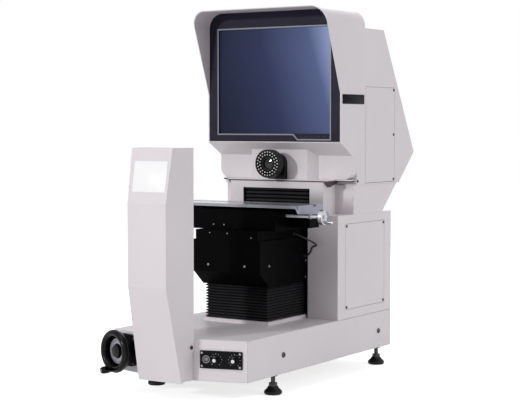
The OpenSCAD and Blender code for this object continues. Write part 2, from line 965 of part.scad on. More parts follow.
// Barrel with a nose inside the ring light and a neck that runs back to the camera
module lens_barrel() {
    nose_r = ring_bore / 2 - fit;
    glass_r = nose_r - 2;
    bore_r = tube_d / 2 - 4;
    seat = 2 + glass_edge;
    shoulder = ring_t - nose_in;
    color(black) turned([0, ring_y + nose_in, axis_z]) polygon([
        [glass_r, 0], [nose_r, 0], [nose_r, shoulder], [barrel_d / 2, shoulder],
        [barrel_d / 2, shoulder + barrel_l], [tube_d / 2, shoulder + barrel_l],
        [tube_d / 2, camera_y - ring_y - nose_in], [bore_r, camera_y - ring_y - nose_in],
        [bore_r, seat], [glass_r, seat]
    ]);
}

module objective_glass() {
    r = ring_bore / 2 - 2 - 2 * fit;
    color([0.12, 0.14, 0.2]) turned([0, ring_y + nose_in + 2, axis_z]) polygon([
        [0, 0], [r / 2, 0.5], [r, 2], [r, glass_edge], [0, glass_edge]
    ]);
}

module ring_light() {
    rim = 3;
    face = 3;
    color(black) turned([0, ring_y, axis_z]) polygon([
        [ring_bore / 2, face], [ring_d / 2 - rim, face], [ring_d / 2 - rim, 0], [ring_d / 2 - 1, 0],
        [ring_d / 2, 1], [ring_d / 2, ring_t], [ring_bore / 2, ring_t]
    ]);
}

module camera() {
    body_w = 64;
    body_d = 90;
    foot = head_bottom + sheet + column_flange;
    color([0.2, 0.2, 0.22])
        box([-body_w / 2, camera_y, foot], [body_w / 2, camera_y + body_d, axis_z + body_w / 2]);
}

// Light tower

tower_flare = (tower_rear_w - tower_front_w) / 2 / (nose_y + tower_reach);

function tower_half(y) = tower_front_w / 2 + (y + tower_reach) * tower_flare;
function tower_plan(y1) = [
    [-tower_half(y1), y1], [-tower_half(-tower_reach), -tower_reach],
    [tower_half(-tower_reach), -tower_reach], [tower_half(y1), y1]
];
function low_facet_y(z) = -tower_reach + (fold_low - z) * tan(lean_low);
function tower_profile(z0, y1) = [
    [low_facet_y(z0), z0], [y1, z0], [y1, tower_top],
    [-tower_reach + (tower_top - fold_high) * tan(lean_high), tower_top],
    [-tower_reach, fold_high], [-tower_reach, fold_low]
];

module tower_body(t, z0, y1) {
    intersection() {
        across(far) polygon(inset(tower_profile(z0, y1), t));
        linear_extrude(far) polygon(inset(tower_plan(y1), t));
    }
}

module tower_cover() {
    beyond = 20;
    step = 12;
    color(paint) difference() {
        tower_body(0, tower_bottom, nose_y);
        tower_body(sheet, tower_bottom - beyond, nose_y + beyond);
        across(far) polygon([
            [nose_y - step, cutout_z], [low_facet_y(tower_bottom) + sheet, tower_bottom - 1],
            [nose_y + beyond, tower_bottom - 1], [nose_y + beyond, cutout_z]
        ]);
    }
}

module tower_frame() {
    wall = 8;
    plate = 10;
    skin = sheet + seam;
    front_gap = 8;
    under = 40;
    color(paint) difference() {
        union() {
            intersection() {
                tower_body(skin, base_z - under, nose_y + skin);
                box([-far, low_facet_y(base_z) + front_gap, base_z], [far, nose_y, base_top]);
            }
            intersection() {
                tower_body(skin, base_z - under, nose_y + skin);
                box([-far, nose_y - plate, base_top], [far, nose_y, tower_top - skin - 1]);
            }
        }
        intersection() {
            tower_body(skin + wall, base_z - 2 * under, nose_y);
            box([-far, low_facet_y(base_z) + front_gap + wall, base_z - 1],
                [far, nose_y - wall, base_top - wall]);
        }
        translate([0, nose_y - plate - 1, axis_z]) rotate([-90, 0, 0])
            cylinder(d = coll_d + 2 * fit, h = plate + 2);
    }
}

tower_d = nose_y + tower_reach;
coll_in = tower_d * 0.15;
lamp_t = 9;
coll_out = 22;
coll_wall = 3;
glass_seat = 5;

module collimator() {
    shoulder = 4;
    shoulder_t = 5;
    color(black) turned([0, nose_y - coll_in, axis_z]) polygon([
        [coll_d / 2 - coll_wall, 0], [coll_d / 2, 0],
        [coll_d / 2, coll_in], [coll_d / 2 + shoulder, coll_in],
        [coll_d / 2 + shoulder, coll_in + shoulder_t], [coll_d / 2, coll_in + shoulder_t],
        [coll_d / 2, coll_in + coll_out], [coll_d / 2 - coll_wall, coll_in + coll_out]
    ]);
}

module collimator_lens() {
    crown = 3;
    edge = 5;
    r = coll_d / 2 - coll_wall - fit;
    color([0.7, 0.78, 0.85]) turned([0, nose_y + coll_out - glass_seat - edge - crown, axis_z]) polygon([
        [0, 0], [r, 0], [r, edge], [r / 2, edge + crown * 0.75], [0, edge + crown]
    ]);
}

module lamp_module() {
    sink = 8;
    color(steel) turned([0, nose_y - coll_in - lamp_t, axis_z]) polygon([
        [0, 0], [coll_d / 2, 0], [coll_d / 2, lamp_t],
        [sink, lamp_t], [sink - 2, lamp_t + 4], [0, lamp_t + 4]
    ]);
}

// Control panel on the right front face

face_l = (base_w / 2 - nose_half) / cos(front_sweep);
ctrl_x = 1.5 - face_l / 2;
ctrl_z = base_z + base_h / 2 + 3;
knob_shift = 37;
knob_x = ctrl_x + knob_shift;
knob_shaft = 6;

module control_panel() {
    corner = 3;
    color(black) on_right_face() difference() {
        translate([ctrl_x, 0, ctrl_z]) rotate([90, 0, 0]) linear_extrude(ctrl_t)
            round_rect(ctrl_w, ctrl_h, corner);
        for (i = [0, 1]) {
            translate([knob_x - i * knob_pitch, 1, ctrl_z]) rotate([90, 0, 0])
                cylinder(d = knob_shaft + 2 * fit, h = ctrl_t + 2);
        }
    }
}

module panel_socket() {
    rise = 4;
    wall = 2;
    color(steel) on_right_face() translate([ctrl_x - ctrl_w / 2 + 18, -ctrl_t, ctrl_z + 1])
        rotate([90, 0, 0])
        rotate_extrude() polygon([
            [0, 0], [socket_d / 2, 0], [socket_d / 2, rise], [socket_d / 2 - wall, rise],
            [socket_d / 2 - wall, rise - 2], [0, rise - 2]
        ]);
}

module lamp_knob(i) {
    skirt = 3;
    cap_d = 10;
    color(black) on_right_face() translate([knob_x - i * knob_pitch, -ctrl_t - gap, ctrl_z])
        rotate([90, 0, 0])
        rotate_extrude() polygon([
            [0, -ctrl_t], [knob_shaft / 2, -ctrl_t],
            [knob_shaft / 2, 0], [knob_d / 2, 0], [knob_d / 2, skirt],
            [knob_d / 2 - 3, skirt + 1], [knob_d / 2 - 4, knob_h - 1], [cap_d / 2, knob_h],
            [cap_d / 2, knob_h + 1], [0, knob_h + 1]
        ]);
}

module knob_contour() {
    lamp_knob(1);
}

module knob_surface() {
    lamp_knob(0);
}

// Lift drive

module lift_gearbox() {
    bearing = 20;
    half = worm_offset + shaft_d / 2 + box_t;
    color([0.4, 0.41, 0.43]) on_lift_axis() difference() {
        box([-half, -half / 2, deck_z - box_h], [half / 2, half / 2, deck_z]);
        translate([0, 0, deck_z - box_h + bearing]) cylinder(d = screw_d + 2 * fit, h = box_h);
        translate([-worm_offset, -half / 2 - 1, wheel_z]) rotate([-90, 0, 0])
            cylinder(d = shaft_d + 2 * fit, h = half / 2 + shaft_tail + 1 + gap);
    }
}

module wheel_flange() {
    corner = 22;
    color(black) on_lift_axis() difference() {
        translate([-worm_offset, -lift_face, wheel_z]) rotate([90, 0, 0])
            linear_extrude(flange_t) round_rect(flange_w, flange_w, corner);
        translate([-worm_offset, -lift_face + 1, wheel_z]) rotate([90, 0, 0])
            cylinder(d = shaft_d + 2 * fit, h = flange_t + 2);
    }
}

// Places a turned part on the lift shaft, rising away from the base
module on_wheel(rise) {
    on_lift_axis() translate([-worm_offset, -wheel_back - rise, wheel_z]) rotate([90, 0, 0]) children();
}

module at_handle() {
    rotate([0, 0, handle_turn]) translate([handle_r, 0, 0]) children();
}

module lift_handwheel() {
    hub_r = shaft_d / 2 + 9;
    bite = rim_t / 4;
    top = wheel_face + hub_rise;
    color(black) on_wheel(0) {
        rotate_extrude() {
            translate([rim_r, rim_z]) circle(d = rim_t);
            polygon([
                [shaft_d / 2 + fit, 0], [hub_r, 0], [hub_r + 4, wheel_dish], [rim_r - bite, wheel_dish],
                [rim_r + bite, wheel_face], [rim_r + bite, rim_z], [rim_r - bite, rim_z],
                [rim_r - rim_t / 3, wheel_face], [hub_r, wheel_face], [hub_r - 2, top], [0, top + 2],
                [0, top + 2 - cap_t], [shaft_d / 2 + fit, top + 2 - cap_t]
            ]);
        }
        at_handle() translate([0, 0, rim_z]) {
            cylinder(d = grip_d - 4, h = rim_t / 2 + 1);
            cylinder(d = pin_d, h = rim_t / 2 + grip_l);
        }
    }
}

module lift_shaft() {
    reach = wheel_back + wheel_face + hub_rise + 2 - cap_t - gap;
    color(steel) on_lift_axis() translate([-worm_offset, -reach, wheel_z]) rotate([-90, 0, 0])
        cylinder(d = shaft_d, h = reach + shaft_tail);
}

module dial_ring() {
    color(steel) on_wheel(wheel_face) difference() {
        cylinder(d = dial_d, h = dial_t);
        translate([0, 0, -1]) cylinder(d = dial_bore, h = dial_t + 2);
    }
}

module lift_crank_handle() {
    seat = rim_z + rim_t / 2 + 1 + gap;
    waist = grip_d / 2 - 2;
    color(black) on_wheel(seat) at_handle() rotate_extrude() polygon([
        [pin_d / 2 + fit, 0], [waist, 0], [grip_d / 2, grip_l / 3], [grip_d / 2, grip_l * 0.8],
        [waist, grip_l], [0, grip_l + 3], [0, grip_l + 2], [pin_d / 2 + fit, grip_l + 2]
    ]);
}

module lift_screw() {
    foot = deck_z - box_h + 20 + gap;
    color(steel) translate([0, -screw_y, foot]) cylinder(d = screw_d, h = screw_top - foot);
}

module lift_nut() {
    wall = 11;
    color("goldenrod") translate([0, -screw_y, shelf_z - nut_h2]) difference() {
        cylinder(d = screw_d + 2 * wall, h = nut_h2);
        translate([0, 0, -1]) cylinder(d = screw_d + 2 * fit, h = nut_h2 + 2);
    }
}

// Lifting carriage

module carriage_body() {
    w = carriage_wall;
    profile = [
        [-bellows_front, carriage_z], [carriage_back, carriage_z], [carriage_back, carriage_top],
        [-carriage_front, carriage_top], [-carriage_front, carriage_z + chamfer_h]
    ];
    color(black) difference() {
        union() {
            across(carriage_w) polygon(profile);
            box([-arm_w / 2, carriage_back - 1, arm_z], [arm_w / 2, arm_back, carriage_top]);
        }
        difference() {
            across(carriage_w - 2 * w - 2 * carriage_neck) polygon(concat(
                [[-bellows_front + w, carriage_z - 1], [carriage_back - w, carriage_z - 1]],
                [[carriage_back - w, carriage_top - w], [-carriage_front + w, carriage_top - w]],
                [[-carriage_front + w, carriage_z + chamfer_h]]
            ));
            box([-far, -screw_y - shelf_half, shelf_z], [far, -screw_y + shelf_half, shelf_z + shelf_t]);
        }
        both_sides() box([carriage_w / 2 - carriage_neck, -far, shoulder_z], [far, far, far]);
        translate([0, -screw_y, shelf_z - 1]) cylinder(d = screw_d + 4, h = shelf_t + 2);
    }
}

function skirt_outline(a, b) = zigzag(a, b, bellows_z, carriage_z - gap, bellows_folds, fold_d, true);

module pleats(t) {
    intersection() {
        across(far) polygon(skirt_outline(-bellows_front + t, bellows_back - t));
        back(-far, far) polygon(skirt_outline(-bellows_w / 2 + t, bellows_w / 2 - t));
    }
}

module bellows() {
    color(black) difference() {
        pleats(0);
        linear_extrude(far) bellows_ring(-fold_d - bellows_wall);
    }
}

// Table and cross slide

module saddle() {
    front = rod_y - saddle_front;
    rear = beam_y + beam_w / 2 + saddle_rear;
    side = beam_w / 2 + gap;
    top = table_under - saddle_gap;
    color(black) difference() {
        box([-saddle_l / 2, front, saddle_z], [saddle_l / 2, rear, top]);
        box([-far, beam_y - side, beam_z - gap], [far, beam_y + side, far]);
        translate([-far / 2, rod_y, rod_z]) rotate([0, 90, 0]) cylinder(d = rod_d + 2 * fit, h = far);
    }
}

module fixture_slot() {
    box([-far, slot_y - slot_key_w / 2, table_z - slot_key_d], [far, slot_y + slot_key_w / 2, far]);
}

module table() {
    color(alloy) difference() {
        box([-table_l / 2, -table_y - table_d / 2, table_under],
            [table_l / 2, -table_y + table_d / 2, table_z]);
        fixture_slot();
        for (x = [-1, 1], y = [-1, 1]) {
            translate([x * hole_span_x / 2, -table_y + y * hole_span_y / 2, table_under - 1])
                cylinder(d = hole_d, h = table_t + 2);
        }
    }
}

module table_beam() {
    color(black) box(
        [-table_l / 2 + beam_end, beam_y - beam_w / 2, beam_z],
        [table_l / 2 - beam_end, beam_y + beam_w / 2, table_under]);
}

// Plate on the table end, with a wedge under the table and a bearing lug for the cross feed rod
module table_end_plate() {
    x0 = table_l / 2;
    half = table_d / 2 - end_inset;
    low = rod_z + rod_d / 2 - 1;
    color(alloy) difference() {
        union() {
            translate([x0 + end_t / 2, 0, 0]) across(end_t) polygon([
                [-table_y - half, low + end_rise], [-table_y + half, low],
                [-table_y + half, table_z], [-table_y - half, table_z]
            ]);
            back(-table_y - half, -table_y + half) polygon([
                [x0 - end_wedge, table_under], [x0, low + end_rise],
                [x0 + 1, low + end_rise], [x0 + 1, table_under]
            ]);
            translate([x0, rod_y, rod_z]) rotate([0, 90, 0]) cylinder(r = lug_r, h = end_t);
            box([x0, rod_y - lug_r * 0.9, rod_z],
                [x0 + end_t, rod_y + lug_r * 0.9, low + end_rise]);
        }
        fixture_slot();
        translate([x0 - 1, rod_y, rod_z]) rotate([0, 90, 0])
            cylinder(d = rod_d + 2 * fit, h = end_t + 2);
    }
}

module on_rod(x) {
    translate([x, rod_y, rod_z]) rotate([0, 90, 0]) children();
}

module x_leadscrew() {
    tail = 60;
    color(steel) on_rod(-saddle_l / 2 + tail)
        cylinder(d = rod_d, h = wheel_x + x_wheel_t - 2 + saddle_l / 2 - tail);
}

module x_handwheel() {
    bevel = 1.5;
    lip = 2;
    dish = 3;
    hub_l = 9;
    hub_wall = 4;
    hub_r = rod_d * 0.75;
    seat = x_wheel_t - 2 + gap;
    color(steel) on_rod(wheel_x) {
        rotate_extrude() polygon([
            [rod_d / 2 + fit, -hub_l], [rod_d / 2 + hub_wall, -hub_l], [x_wheel_d / 2 - bevel, 0],
            [x_wheel_d / 2, bevel], [x_wheel_d / 2, x_wheel_t - bevel],
            [x_wheel_d / 2 - bevel, x_wheel_t],
            [x_wheel_d / 2 - lip, x_wheel_t], [x_wheel_d / 2 - lip, x_wheel_t - dish],
            [hub_r, x_wheel_t - dish], [hub_r, x_wheel_t],
            [0, x_wheel_t], [0, seat], [rod_d / 2 + fit, seat]
        ]);
        at_x_handle() translate([0, 0, x_wheel_t / 2]) {
            cylinder(d = x_grip_d - 1, h = x_wheel_t / 2);
            cylinder(d = x_grip_d / 2, h = x_wheel_t / 2 + x_grip_l - 2);
        }
    }
}

module at_x_handle() {
    rotate([0, 0, 15]) translate([x_handle_r, 0, 0]) children();
}

module x_crank_handle() {
    bore = x_grip_d / 4 + fit;
    color(steel) on_rod(wheel_x + x_wheel_t + gap) at_x_handle() rotate_extrude() polygon([
        [bore, 0], [x_grip_d / 2 - 1, 0], [x_grip_d / 2, 3], [x_grip_d / 2, x_grip_l - 3],
        [x_grip_d / 2 - 1, x_grip_l], [0, x_grip_l], [0, x_grip_l - 1], [bore, x_grip_l - 1]
    ]);
}

// Encoder cable: leaves the set-in flank of the carriage, loops out and comes back lower down

cable_d = 5;
gland_d = 10;
gland_l = 6;
cable_top = [carriage_w / 2 - carriage_neck, -61, carriage_top - 17];
cable_drop = 54;
cable_low = [carriage_w / 2, -14, shoulder_z - cable_drop];
cable_path = [
    cable_top, cable_top + [9, 0, 0], cable_top + [24, 8, -6], cable_top + [39, 18, -15],
    cable_top + [50, 27, -22], cable_low + [49, -13, 35], cable_low + [44, -5, 30],
    cable_low + [34, 0, 28], cable_low + [26, 2, 23], cable_low + [23, 2, 14],
    cable_low + [17, 1, 5], cable_low + [9, 0, 0], cable_low
];

function cable_frame(i) = let (
        n = len(cable_path),
        d = along(cable_path[max(i - 1, 0)], cable_path[min(i + 1, n - 1)]),
        s = along([0, 0, 0], cross(d, [0, 1, 0.3]))
    ) [s, cross(d, s)];

module encoder_cable() {
    sides = 8;
    n = len(cable_path);
    points = [
        for (i = [0:n - 1], k = [0:sides - 1])
            let (f = cable_frame(i), a = 360 * k / sides)
            cable_path[i] + cable_d / 2 * (cos(a) * f[0] + sin(a) * f[1])
    ];
    walls = [
        for (i = [0:n - 2], k = [0:sides - 1])
            let (a = i * sides + k, b = i * sides + (k + 1) % sides)
            [a, b, b + sides, a + sides]
    ];
    start = [[for (k = [0:sides - 1]) sides - 1 - k]];
    end = [[for (k = [0:sides - 1]) (n - 1) * sides + k]];
    color(black) polyhedron(concat(points), concat(start, walls, end));
}

module cable_glands() {
    color(black) for (at = [cable_top, cable_low]) {
        translate(at) rotate([0, 90, 0]) difference() {
            cylinder(d = gland_d, h = gland_l, $fn = 6);
            translate([0, 0, -1]) cylinder(d = cable_d + gap, h = gland_l + 2);
        }
    }
}

// Assembly about the origin

module placed() {
    translate([-centre_x, -centre_y, 0]) children();
}

placed() base_frame();
placed() base_plate();
placed() foot_pads();
placed() foot_hardware();
placed() casing_screws();
placed() cabinet_shell();
placed() cabinet_side_panels();
placed() rear_door();
placed() column();
placed() neck_housing();
placed() guide_cover();
placed() upper_bellows();
placed() guide_rails();
placed() guide_blocks();
placed() head_shell();
placed() head_side_panels();
placed() lens_shroud();
placed() head_base_plate();
placed() monitor_bezel();
placed() trim_frame();
placed() screen_panel();
placed() button_1();
placed() button_2();
placed() button_3();
placed() button_4();
placed() button_5();
placed() lens_block();
placed() lens_barrel();
placed() lens_mount();
placed() objective_glass();
placed() ring_light();
placed() camera();
placed() tower_frame();
placed() tower_cover();
placed() collimator();
placed() collimator_lens();
placed() lamp_module();
placed() control_panel();
placed() panel_socket();
placed() knob_contour();
placed() knob_surface();
placed() lift_gearbox();
placed() wheel_flange();
placed() lift_handwheel();
placed() lift_shaft();
placed() dial_ring();
placed() lift_crank_handle();
placed() lift_screw();
placed() lift_nut();
placed() carriage_body();
placed() bellows();
placed() saddle();
placed() table();
placed() table_beam();
placed() table_end_plate();
placed() x_leadscrew();
placed() x_handwheel();
placed() x_crank_handle();
placed() encoder_cable();
placed() cable_glands();
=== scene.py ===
"""Looks for a horizontal video comparator: enamel casings, black carriage, screen, lens and drives."""
import math

import bmesh
import bpy
from bpy.props import FloatProperty, FloatVectorProperty, IntProperty, PointerProperty
from mathutils import Matrix, Vector


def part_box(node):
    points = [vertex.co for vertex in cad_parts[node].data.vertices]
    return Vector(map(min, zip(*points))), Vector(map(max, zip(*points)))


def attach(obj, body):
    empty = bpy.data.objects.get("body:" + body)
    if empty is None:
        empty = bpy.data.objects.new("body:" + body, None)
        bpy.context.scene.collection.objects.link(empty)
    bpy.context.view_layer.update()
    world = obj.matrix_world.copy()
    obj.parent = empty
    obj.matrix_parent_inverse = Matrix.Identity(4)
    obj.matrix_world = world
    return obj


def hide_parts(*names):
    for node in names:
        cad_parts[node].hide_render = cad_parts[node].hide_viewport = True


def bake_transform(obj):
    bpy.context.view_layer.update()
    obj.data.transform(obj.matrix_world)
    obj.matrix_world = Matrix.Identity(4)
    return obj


bl_info = {
    "name": "Video comparator looks",
    "version": (1, 0, 0),
    "blender": (4, 5, 0),
    "location": "View3D > Sidebar > Comparator",
    "description": "Finishes, small fittings, light and camera for a horizontal video comparator",
    "category": "Object",
}

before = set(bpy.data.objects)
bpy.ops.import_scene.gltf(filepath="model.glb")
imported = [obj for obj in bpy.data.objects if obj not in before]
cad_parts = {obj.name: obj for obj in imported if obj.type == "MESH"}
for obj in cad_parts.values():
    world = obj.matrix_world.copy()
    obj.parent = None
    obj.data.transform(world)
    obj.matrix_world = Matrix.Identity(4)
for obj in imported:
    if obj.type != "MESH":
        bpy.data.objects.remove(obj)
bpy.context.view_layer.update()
MM = 0.001
ROOT = "machine"

# The optical plane and the screen plane in the part's frame
AXIS_X = (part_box("head_shell")[0][0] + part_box("head_shell")[1][0]) / 2
SCREEN_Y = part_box("monitor_bezel")[0][1]

# Outward directions of the two swept front faces of the base
SWEEP = math.radians(16)
LEFT_FACE = Vector((-math.sin(SWEEP), -math.cos(SWEEP), 0))
RIGHT_FACE = Vector((math.sin(SWEEP), -math.cos(SWEEP), 0))

# Edges sharper than this stay hard in shading
SHARP_ANGLE = math.radians(32)


def mm(*points):
    """Points in millimetres turned into metres."""
    return [tuple(v * MM for v in point) for point in points]


def at(x, y, z):
    """A point in millimetres from the optical plane, the screen plane and the floor."""
    return Vector((AXIS_X + x * MM, SCREEN_Y + y * MM, z * MM))


def centre(node):
    """Middle of a CAD piece's box."""
    low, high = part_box(node)
    return (Vector(low) + Vector(high)) / 2


def reach(node, way):
    """How far a CAD piece reaches from the middle of its box along a direction."""
    middle = centre(node)
    return max((v.co - middle).dot(way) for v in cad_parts[node].data.vertices)


def facing(origin, normal):
    """Matrix of a plane at origin: X across, Y up along it and Z out of it."""
    out = Vector(normal).normalized()
    across = Vector((0, 0, 1)).cross(out).normalized()
    over = out.cross(across)
    m = Matrix((across, over, out)).transposed().to_4x4()
    m.translation = Vector(origin)
    return m


# Mesh pieces

def outline(w, h, r, steps=5):
    """Corner points of a rectangle with round corners."""
    points = []
    for cx, cy, start in ((1, 1, 0), (-1, 1, 90), (-1, -1, 180), (1, -1, 270)):
        for i in range(steps + 1):
            a = math.radians(start + 90 * i / steps)
            points.append((cx * (w / 2 - r) + r * math.cos(a), cy * (h / 2 - r) + r * math.sin(a)))
    return points


def add_slab(bm, m, points, thick, edge=0.0):
    """A plate with the given outline on plane m, its front edge eased by a bevel."""
    low = [bm.verts.new(m @ Vector((x, y, 0))) for x, y in points]
    high = [bm.verts.new(m @ Vector((x, y, thick))) for x, y in points]
    n = len(points)
    bm.faces.new(list(reversed(low)))
    top = bm.faces.new(high)
    for i in range(n):
        j = (i + 1) % n
        bm.faces.new((low[i], low[j], high[j], high[i]))
    if edge:
        bmesh.ops.bevel(bm, geom=list(top.edges), offset=edge, segments=2, affect="EDGES", profile=0.6)


def add_turned(bm, m, profile, steps=24):
    """A turned part on plane m from a profile of radius and height, closed where the radius is 0."""
    rings = []
    for r, h in profile:
        if r < 1e-9:
            rings.append([bm.verts.new(m @ Vector((0, 0, h)))])
        else:
            rings.append([
                bm.verts.new(m @ Vector((r * math.cos(a), r * math.sin(a), h)))
                for a in (math.tau * k / steps for k in range(steps))
            ])
    for a, b in zip(rings, rings[1:]):
        for k in range(steps):
            j = (k + 1) % steps
            if len(a) == 1 and len(b) == 1:
                continue
            if len(a) == 1:
                bm.faces.new((a[0], b[k], b[j]))
            elif len(b) == 1:
                bm.faces.new((a[k], a[j], b[0]))
            else:
                bm.faces.new((a[k], a[j], b[j], b[k]))


def add_bar(bm, m, w, h, thick):
    """A square-cornered plate, centred on plane m."""
    add_slab(bm, m, [(w / 2, -h / 2), (w / 2, h / 2), (-w / 2, h / 2), (-w / 2, -h / 2)], thick)


def piece(name, bm, finish, body):
    """Turns a mesh under construction into a piece that rides on a body."""
    bmesh.ops.recalc_face_normals(bm, faces=bm.faces)
    mesh = bpy.data.meshes.new(name)
    bm.to_mesh(mesh)
    bm.free()
    mesh.materials.append(finish)
    obj = bpy.data.objects.new(name, mesh)
    bpy.context.scene.collection.objects.link(obj)
    mesh.shade_smooth()
    mesh.set_sharp_from_angle(angle=SHARP_ANGLE)
    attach(obj, body)


# Finishes

class Finish:
    """One material under construction: a Principled shader fed by object-space patterns."""

    def __init__(self, name, colour, rough, metal=0.0):
        self.mat = bpy.data.materials.new(name)
        self.mat.use_nodes = True
        self.mat.diffuse_color = (*colour, 1)
        self.tree = self.mat.node_tree
        self.shader = self.tree.nodes["Principled BSDF"]
        self.colour = colour
        self.set(**{"Base Color": (*colour, 1), "Roughness": rough, "Metallic": metal})
        self.rough = rough
        self.where = self.node("ShaderNodeTexCoord").outputs["Object"]
        self.height = None

    def node(self, kind, **values):
        """Adds a node, with values for its sockets or settings."""
        node = self.tree.nodes.new(kind)
        for key, value in values.items():
            if key in node.inputs:
                node.inputs[key].default_value = value
            else:
                setattr(node, key, value)
        return node

    def link(self, a, b):
        """Joins an output to an input."""
        self.tree.links.new(a, b)

    def set(self, **values):
        """Sets sockets of the shader itself."""
        for key, value in values.items():
            self.shader.inputs[key].default_value = value
        return self

    def stretched(self, scale):
        """Object space scaled by axis, for patterns that run along one way."""
        node = self.node("ShaderNodeMapping", Scale=scale)
        self.link(self.where, node.inputs["Vector"])
        return node.outputs["Vector"]

    def noise(self, scale, detail=3.0, rough=0.5, stretch=None):
        """Cloudy pattern from 0 to 1, strongest round 0.5."""
        node = self.node("ShaderNodeTexNoise", Scale=scale, Detail=detail, Roughness=rough)
        self.link(self.stretched(stretch) if stretch else self.where, node.inputs["Vector"])
        return node.outputs["Fac"]

    def ranged(self, fac, low, high, from_low=0.3, from_high=0.7):
        """Maps a value from one range to another."""
        node = self.node("ShaderNodeMapRange")
        ends = {"From Min": from_low, "From Max": from_high, "To Min": low, "To Max": high}
        for key, value in ends.items():
            node.inputs[key].default_value = value
        self.link(fac, node.inputs["Value"])
        return node.outputs["Result"]

    def axes(self, source=None):
        """X, Y and Z of a vector, or of the place in object space."""
        node = self.node("ShaderNodeSeparateXYZ")
        self.link(self.where if source is None else source, node.inputs["Vector"])
        return node.outputs

    def joined(self, operation, *values):
        """Result of a sum on outputs and plain numbers."""
        node = self.node("ShaderNodeMath", operation=operation)
        for socket, value in zip(node.inputs, values):
            if isinstance(value, float):
                socket.default_value = value
            else:
                self.link(value, socket)
        return node.outputs["Value"]

    def ramp(self, fac, stops):
        """Colours spread over a value from 0 to 1."""
        node = self.node("ShaderNodeValToRGB")
        while len(node.color_ramp.elements) < len(stops):
            node.color_ramp.elements.new(0.5)
        for element, (place, colour) in zip(node.color_ramp.elements, stops):
            element.position = place
            element.color = (*colour, 1)
        self.link(fac, node.inputs["Fac"])
        return node.outputs["Color"]

    def mottle(self, scale, spread, detail=4.0, stretch=None):
        """Uneven tone: the colour drifts lighter and darker by the given share."""
        fac = self.noise(scale, detail, stretch=stretch)
        dark = tuple(max(c * (1 - spread), 0) for c in self.colour)
        light = tuple(min(c * (1 + spread), 1) for c in self.colour)
        self.link(self.ramp(fac, ((0.32, dark), (0.68, light))), self.shader.inputs["Base Color"])
        return self

    def uneven_gloss(self, scale, spread, stretch=None):
        """Roughness that drifts up and down by the given amount."""
        fac = self.noise(scale, detail=4.0, stretch=stretch)
        gloss = self.ranged(fac, self.rough - spread, self.rough + spread)
        self.link(gloss, self.shader.inputs["Roughness"])
        return self

    def relief(self, fac, strength, distance):
        """Fine relief, laid over any relief set before."""
        node = self.node("ShaderNodeBump", Strength=strength, Distance=distance)
        self.link(fac, node.inputs["Height"])
        if self.height:
            self.link(self.height, node.inputs["Normal"])
        self.height = node.outputs["Normal"]
        self.link(self.height, self.shader.inputs["Normal"])
        return self

    def eased(self, radius):
        """Softens the look of hard edges, as paint and machining do."""
        node = self.node("ShaderNodeBevel", Radius=radius)
        node.samples = 4
        if self.height:
            self.link(self.height, node.inputs["Normal"])
        self.link(node.outputs["Normal"], self.shader.inputs["Normal"])
        return self


def enamel(name, colour, rough=0.42, edge=0.0012):
    """Sprayed enamel with a fine orange-peel skin and a slow drift in tone."""
    finish = Finish(name, colour, rough)
    finish.mottle(3.5, spread=0.025).uneven_gloss(9, spread=0.06)
    finish.relief(finish.noise(900, detail=2.0), strength=0.06, distance=0.0004).eased(edge)
    finish.set(**{"Specular IOR Level": 0.3, "Coat Weight": 0.06, "Coat Roughness": 0.3})
    return finish.mat


def black_paint(name, colour, rough=0.5, shine=0.1):
    """Black wrinkle lacquer on machined alloy."""
    finish = Finish(name, colour, rough)
    finish.set(**{"Specular IOR Level": shine})
    finish.mottle(25, spread=0.25).uneven_gloss(30, spread=0.08)
    finish.relief(finish.noise(1400, detail=3.0, rough=0.6), strength=0.25, distance=0.0004)
    return finish.mat


def moulded(name, colour, rough=0.4, grain=0.15, shine=0.2):
    """Moulded plastic with a fine spark-eroded grain."""
    finish = Finish(name, colour, rough)
    finish.set(**{"Specular IOR Level": shine})
    finish.mottle(18, spread=0.1).uneven_gloss(40, spread=0.05)
    finish.relief(finish.noise(2600, detail=2.0, rough=0.7), strength=grain, distance=0.0002)
    return finish.mat


def machined(name, colour, rough, stretch, metal=1.0, spread=0.06):
    """Machined or brushed metal: long scratches along one way."""
    finish = Finish(name, colour, rough, metal)
    finish.mottle(60, spread, detail=5.0, stretch=stretch)
    finish.uneven_gloss(90, spread=min(0.08, rough / 3), stretch=stretch)
    scratches = finish.noise(260, detail=5.0, rough=0.6, stretch=stretch)
    finish.relief(scratches, strength=rough / 4, distance=0.0002)
    return finish.mat


def pleated_cloth(name, colour, painted_highlight):
    """Coated bellows cloth: a fine weave, with a painted highlight on the slopes that face up."""
    finish = Finish(name, colour, rough=0.5)
    finish.set(**{"Specular IOR Level": 0.12})
    # Slopes that face up are painted lighter, in patches: a painted highlight where the pleats catch the
    # light
    up = finish.axes(finish.node("ShaderNodeNewGeometry").outputs["Normal"])["Z"]
    slope = finish.ranged(up, 0.0, 1.0, from_low=0.0, from_high=0.5)
    patches = finish.ranged(finish.noise(30, detail=4.0), 0.7, 1.0)
    tone = finish.ramp(finish.joined("MULTIPLY", slope, patches), ((0.0, colour), (1.0, painted_highlight)))
    finish.link(tone, finish.shader.inputs["Base Color"])
    finish.uneven_gloss(20, spread=0.08)
    for way in ("X", "Z"):
        wave = finish.node("ShaderNodeTexWave", Scale=420.0, Distortion=0.6, bands_direction=way)
        finish.link(finish.where, wave.inputs["Vector"])
        finish.relief(wave.outputs["Fac"], strength=0.18, distance=0.0003)
    return finish.mat


def soft_rubber(name, colour):
    """Dull rubber or cable sheath."""
    finish = Finish(name, colour, rough=0.6)
    finish.set(**{"Specular IOR Level": 0.25})
    finish.mottle(22, spread=0.3).uneven_gloss(30, spread=0.08)
    finish.relief(finish.noise(900, detail=3.0), strength=0.2, distance=0.0003)
    return finish.mat


def lens_glass(name, colour):
    """Coated optical glass, dark and clear."""
    finish = Finish(name, colour, rough=0.06)
    finish.mottle(14, spread=0.15)
    finish.set(**{"Specular IOR Level": 0.35})
    return finish.mat


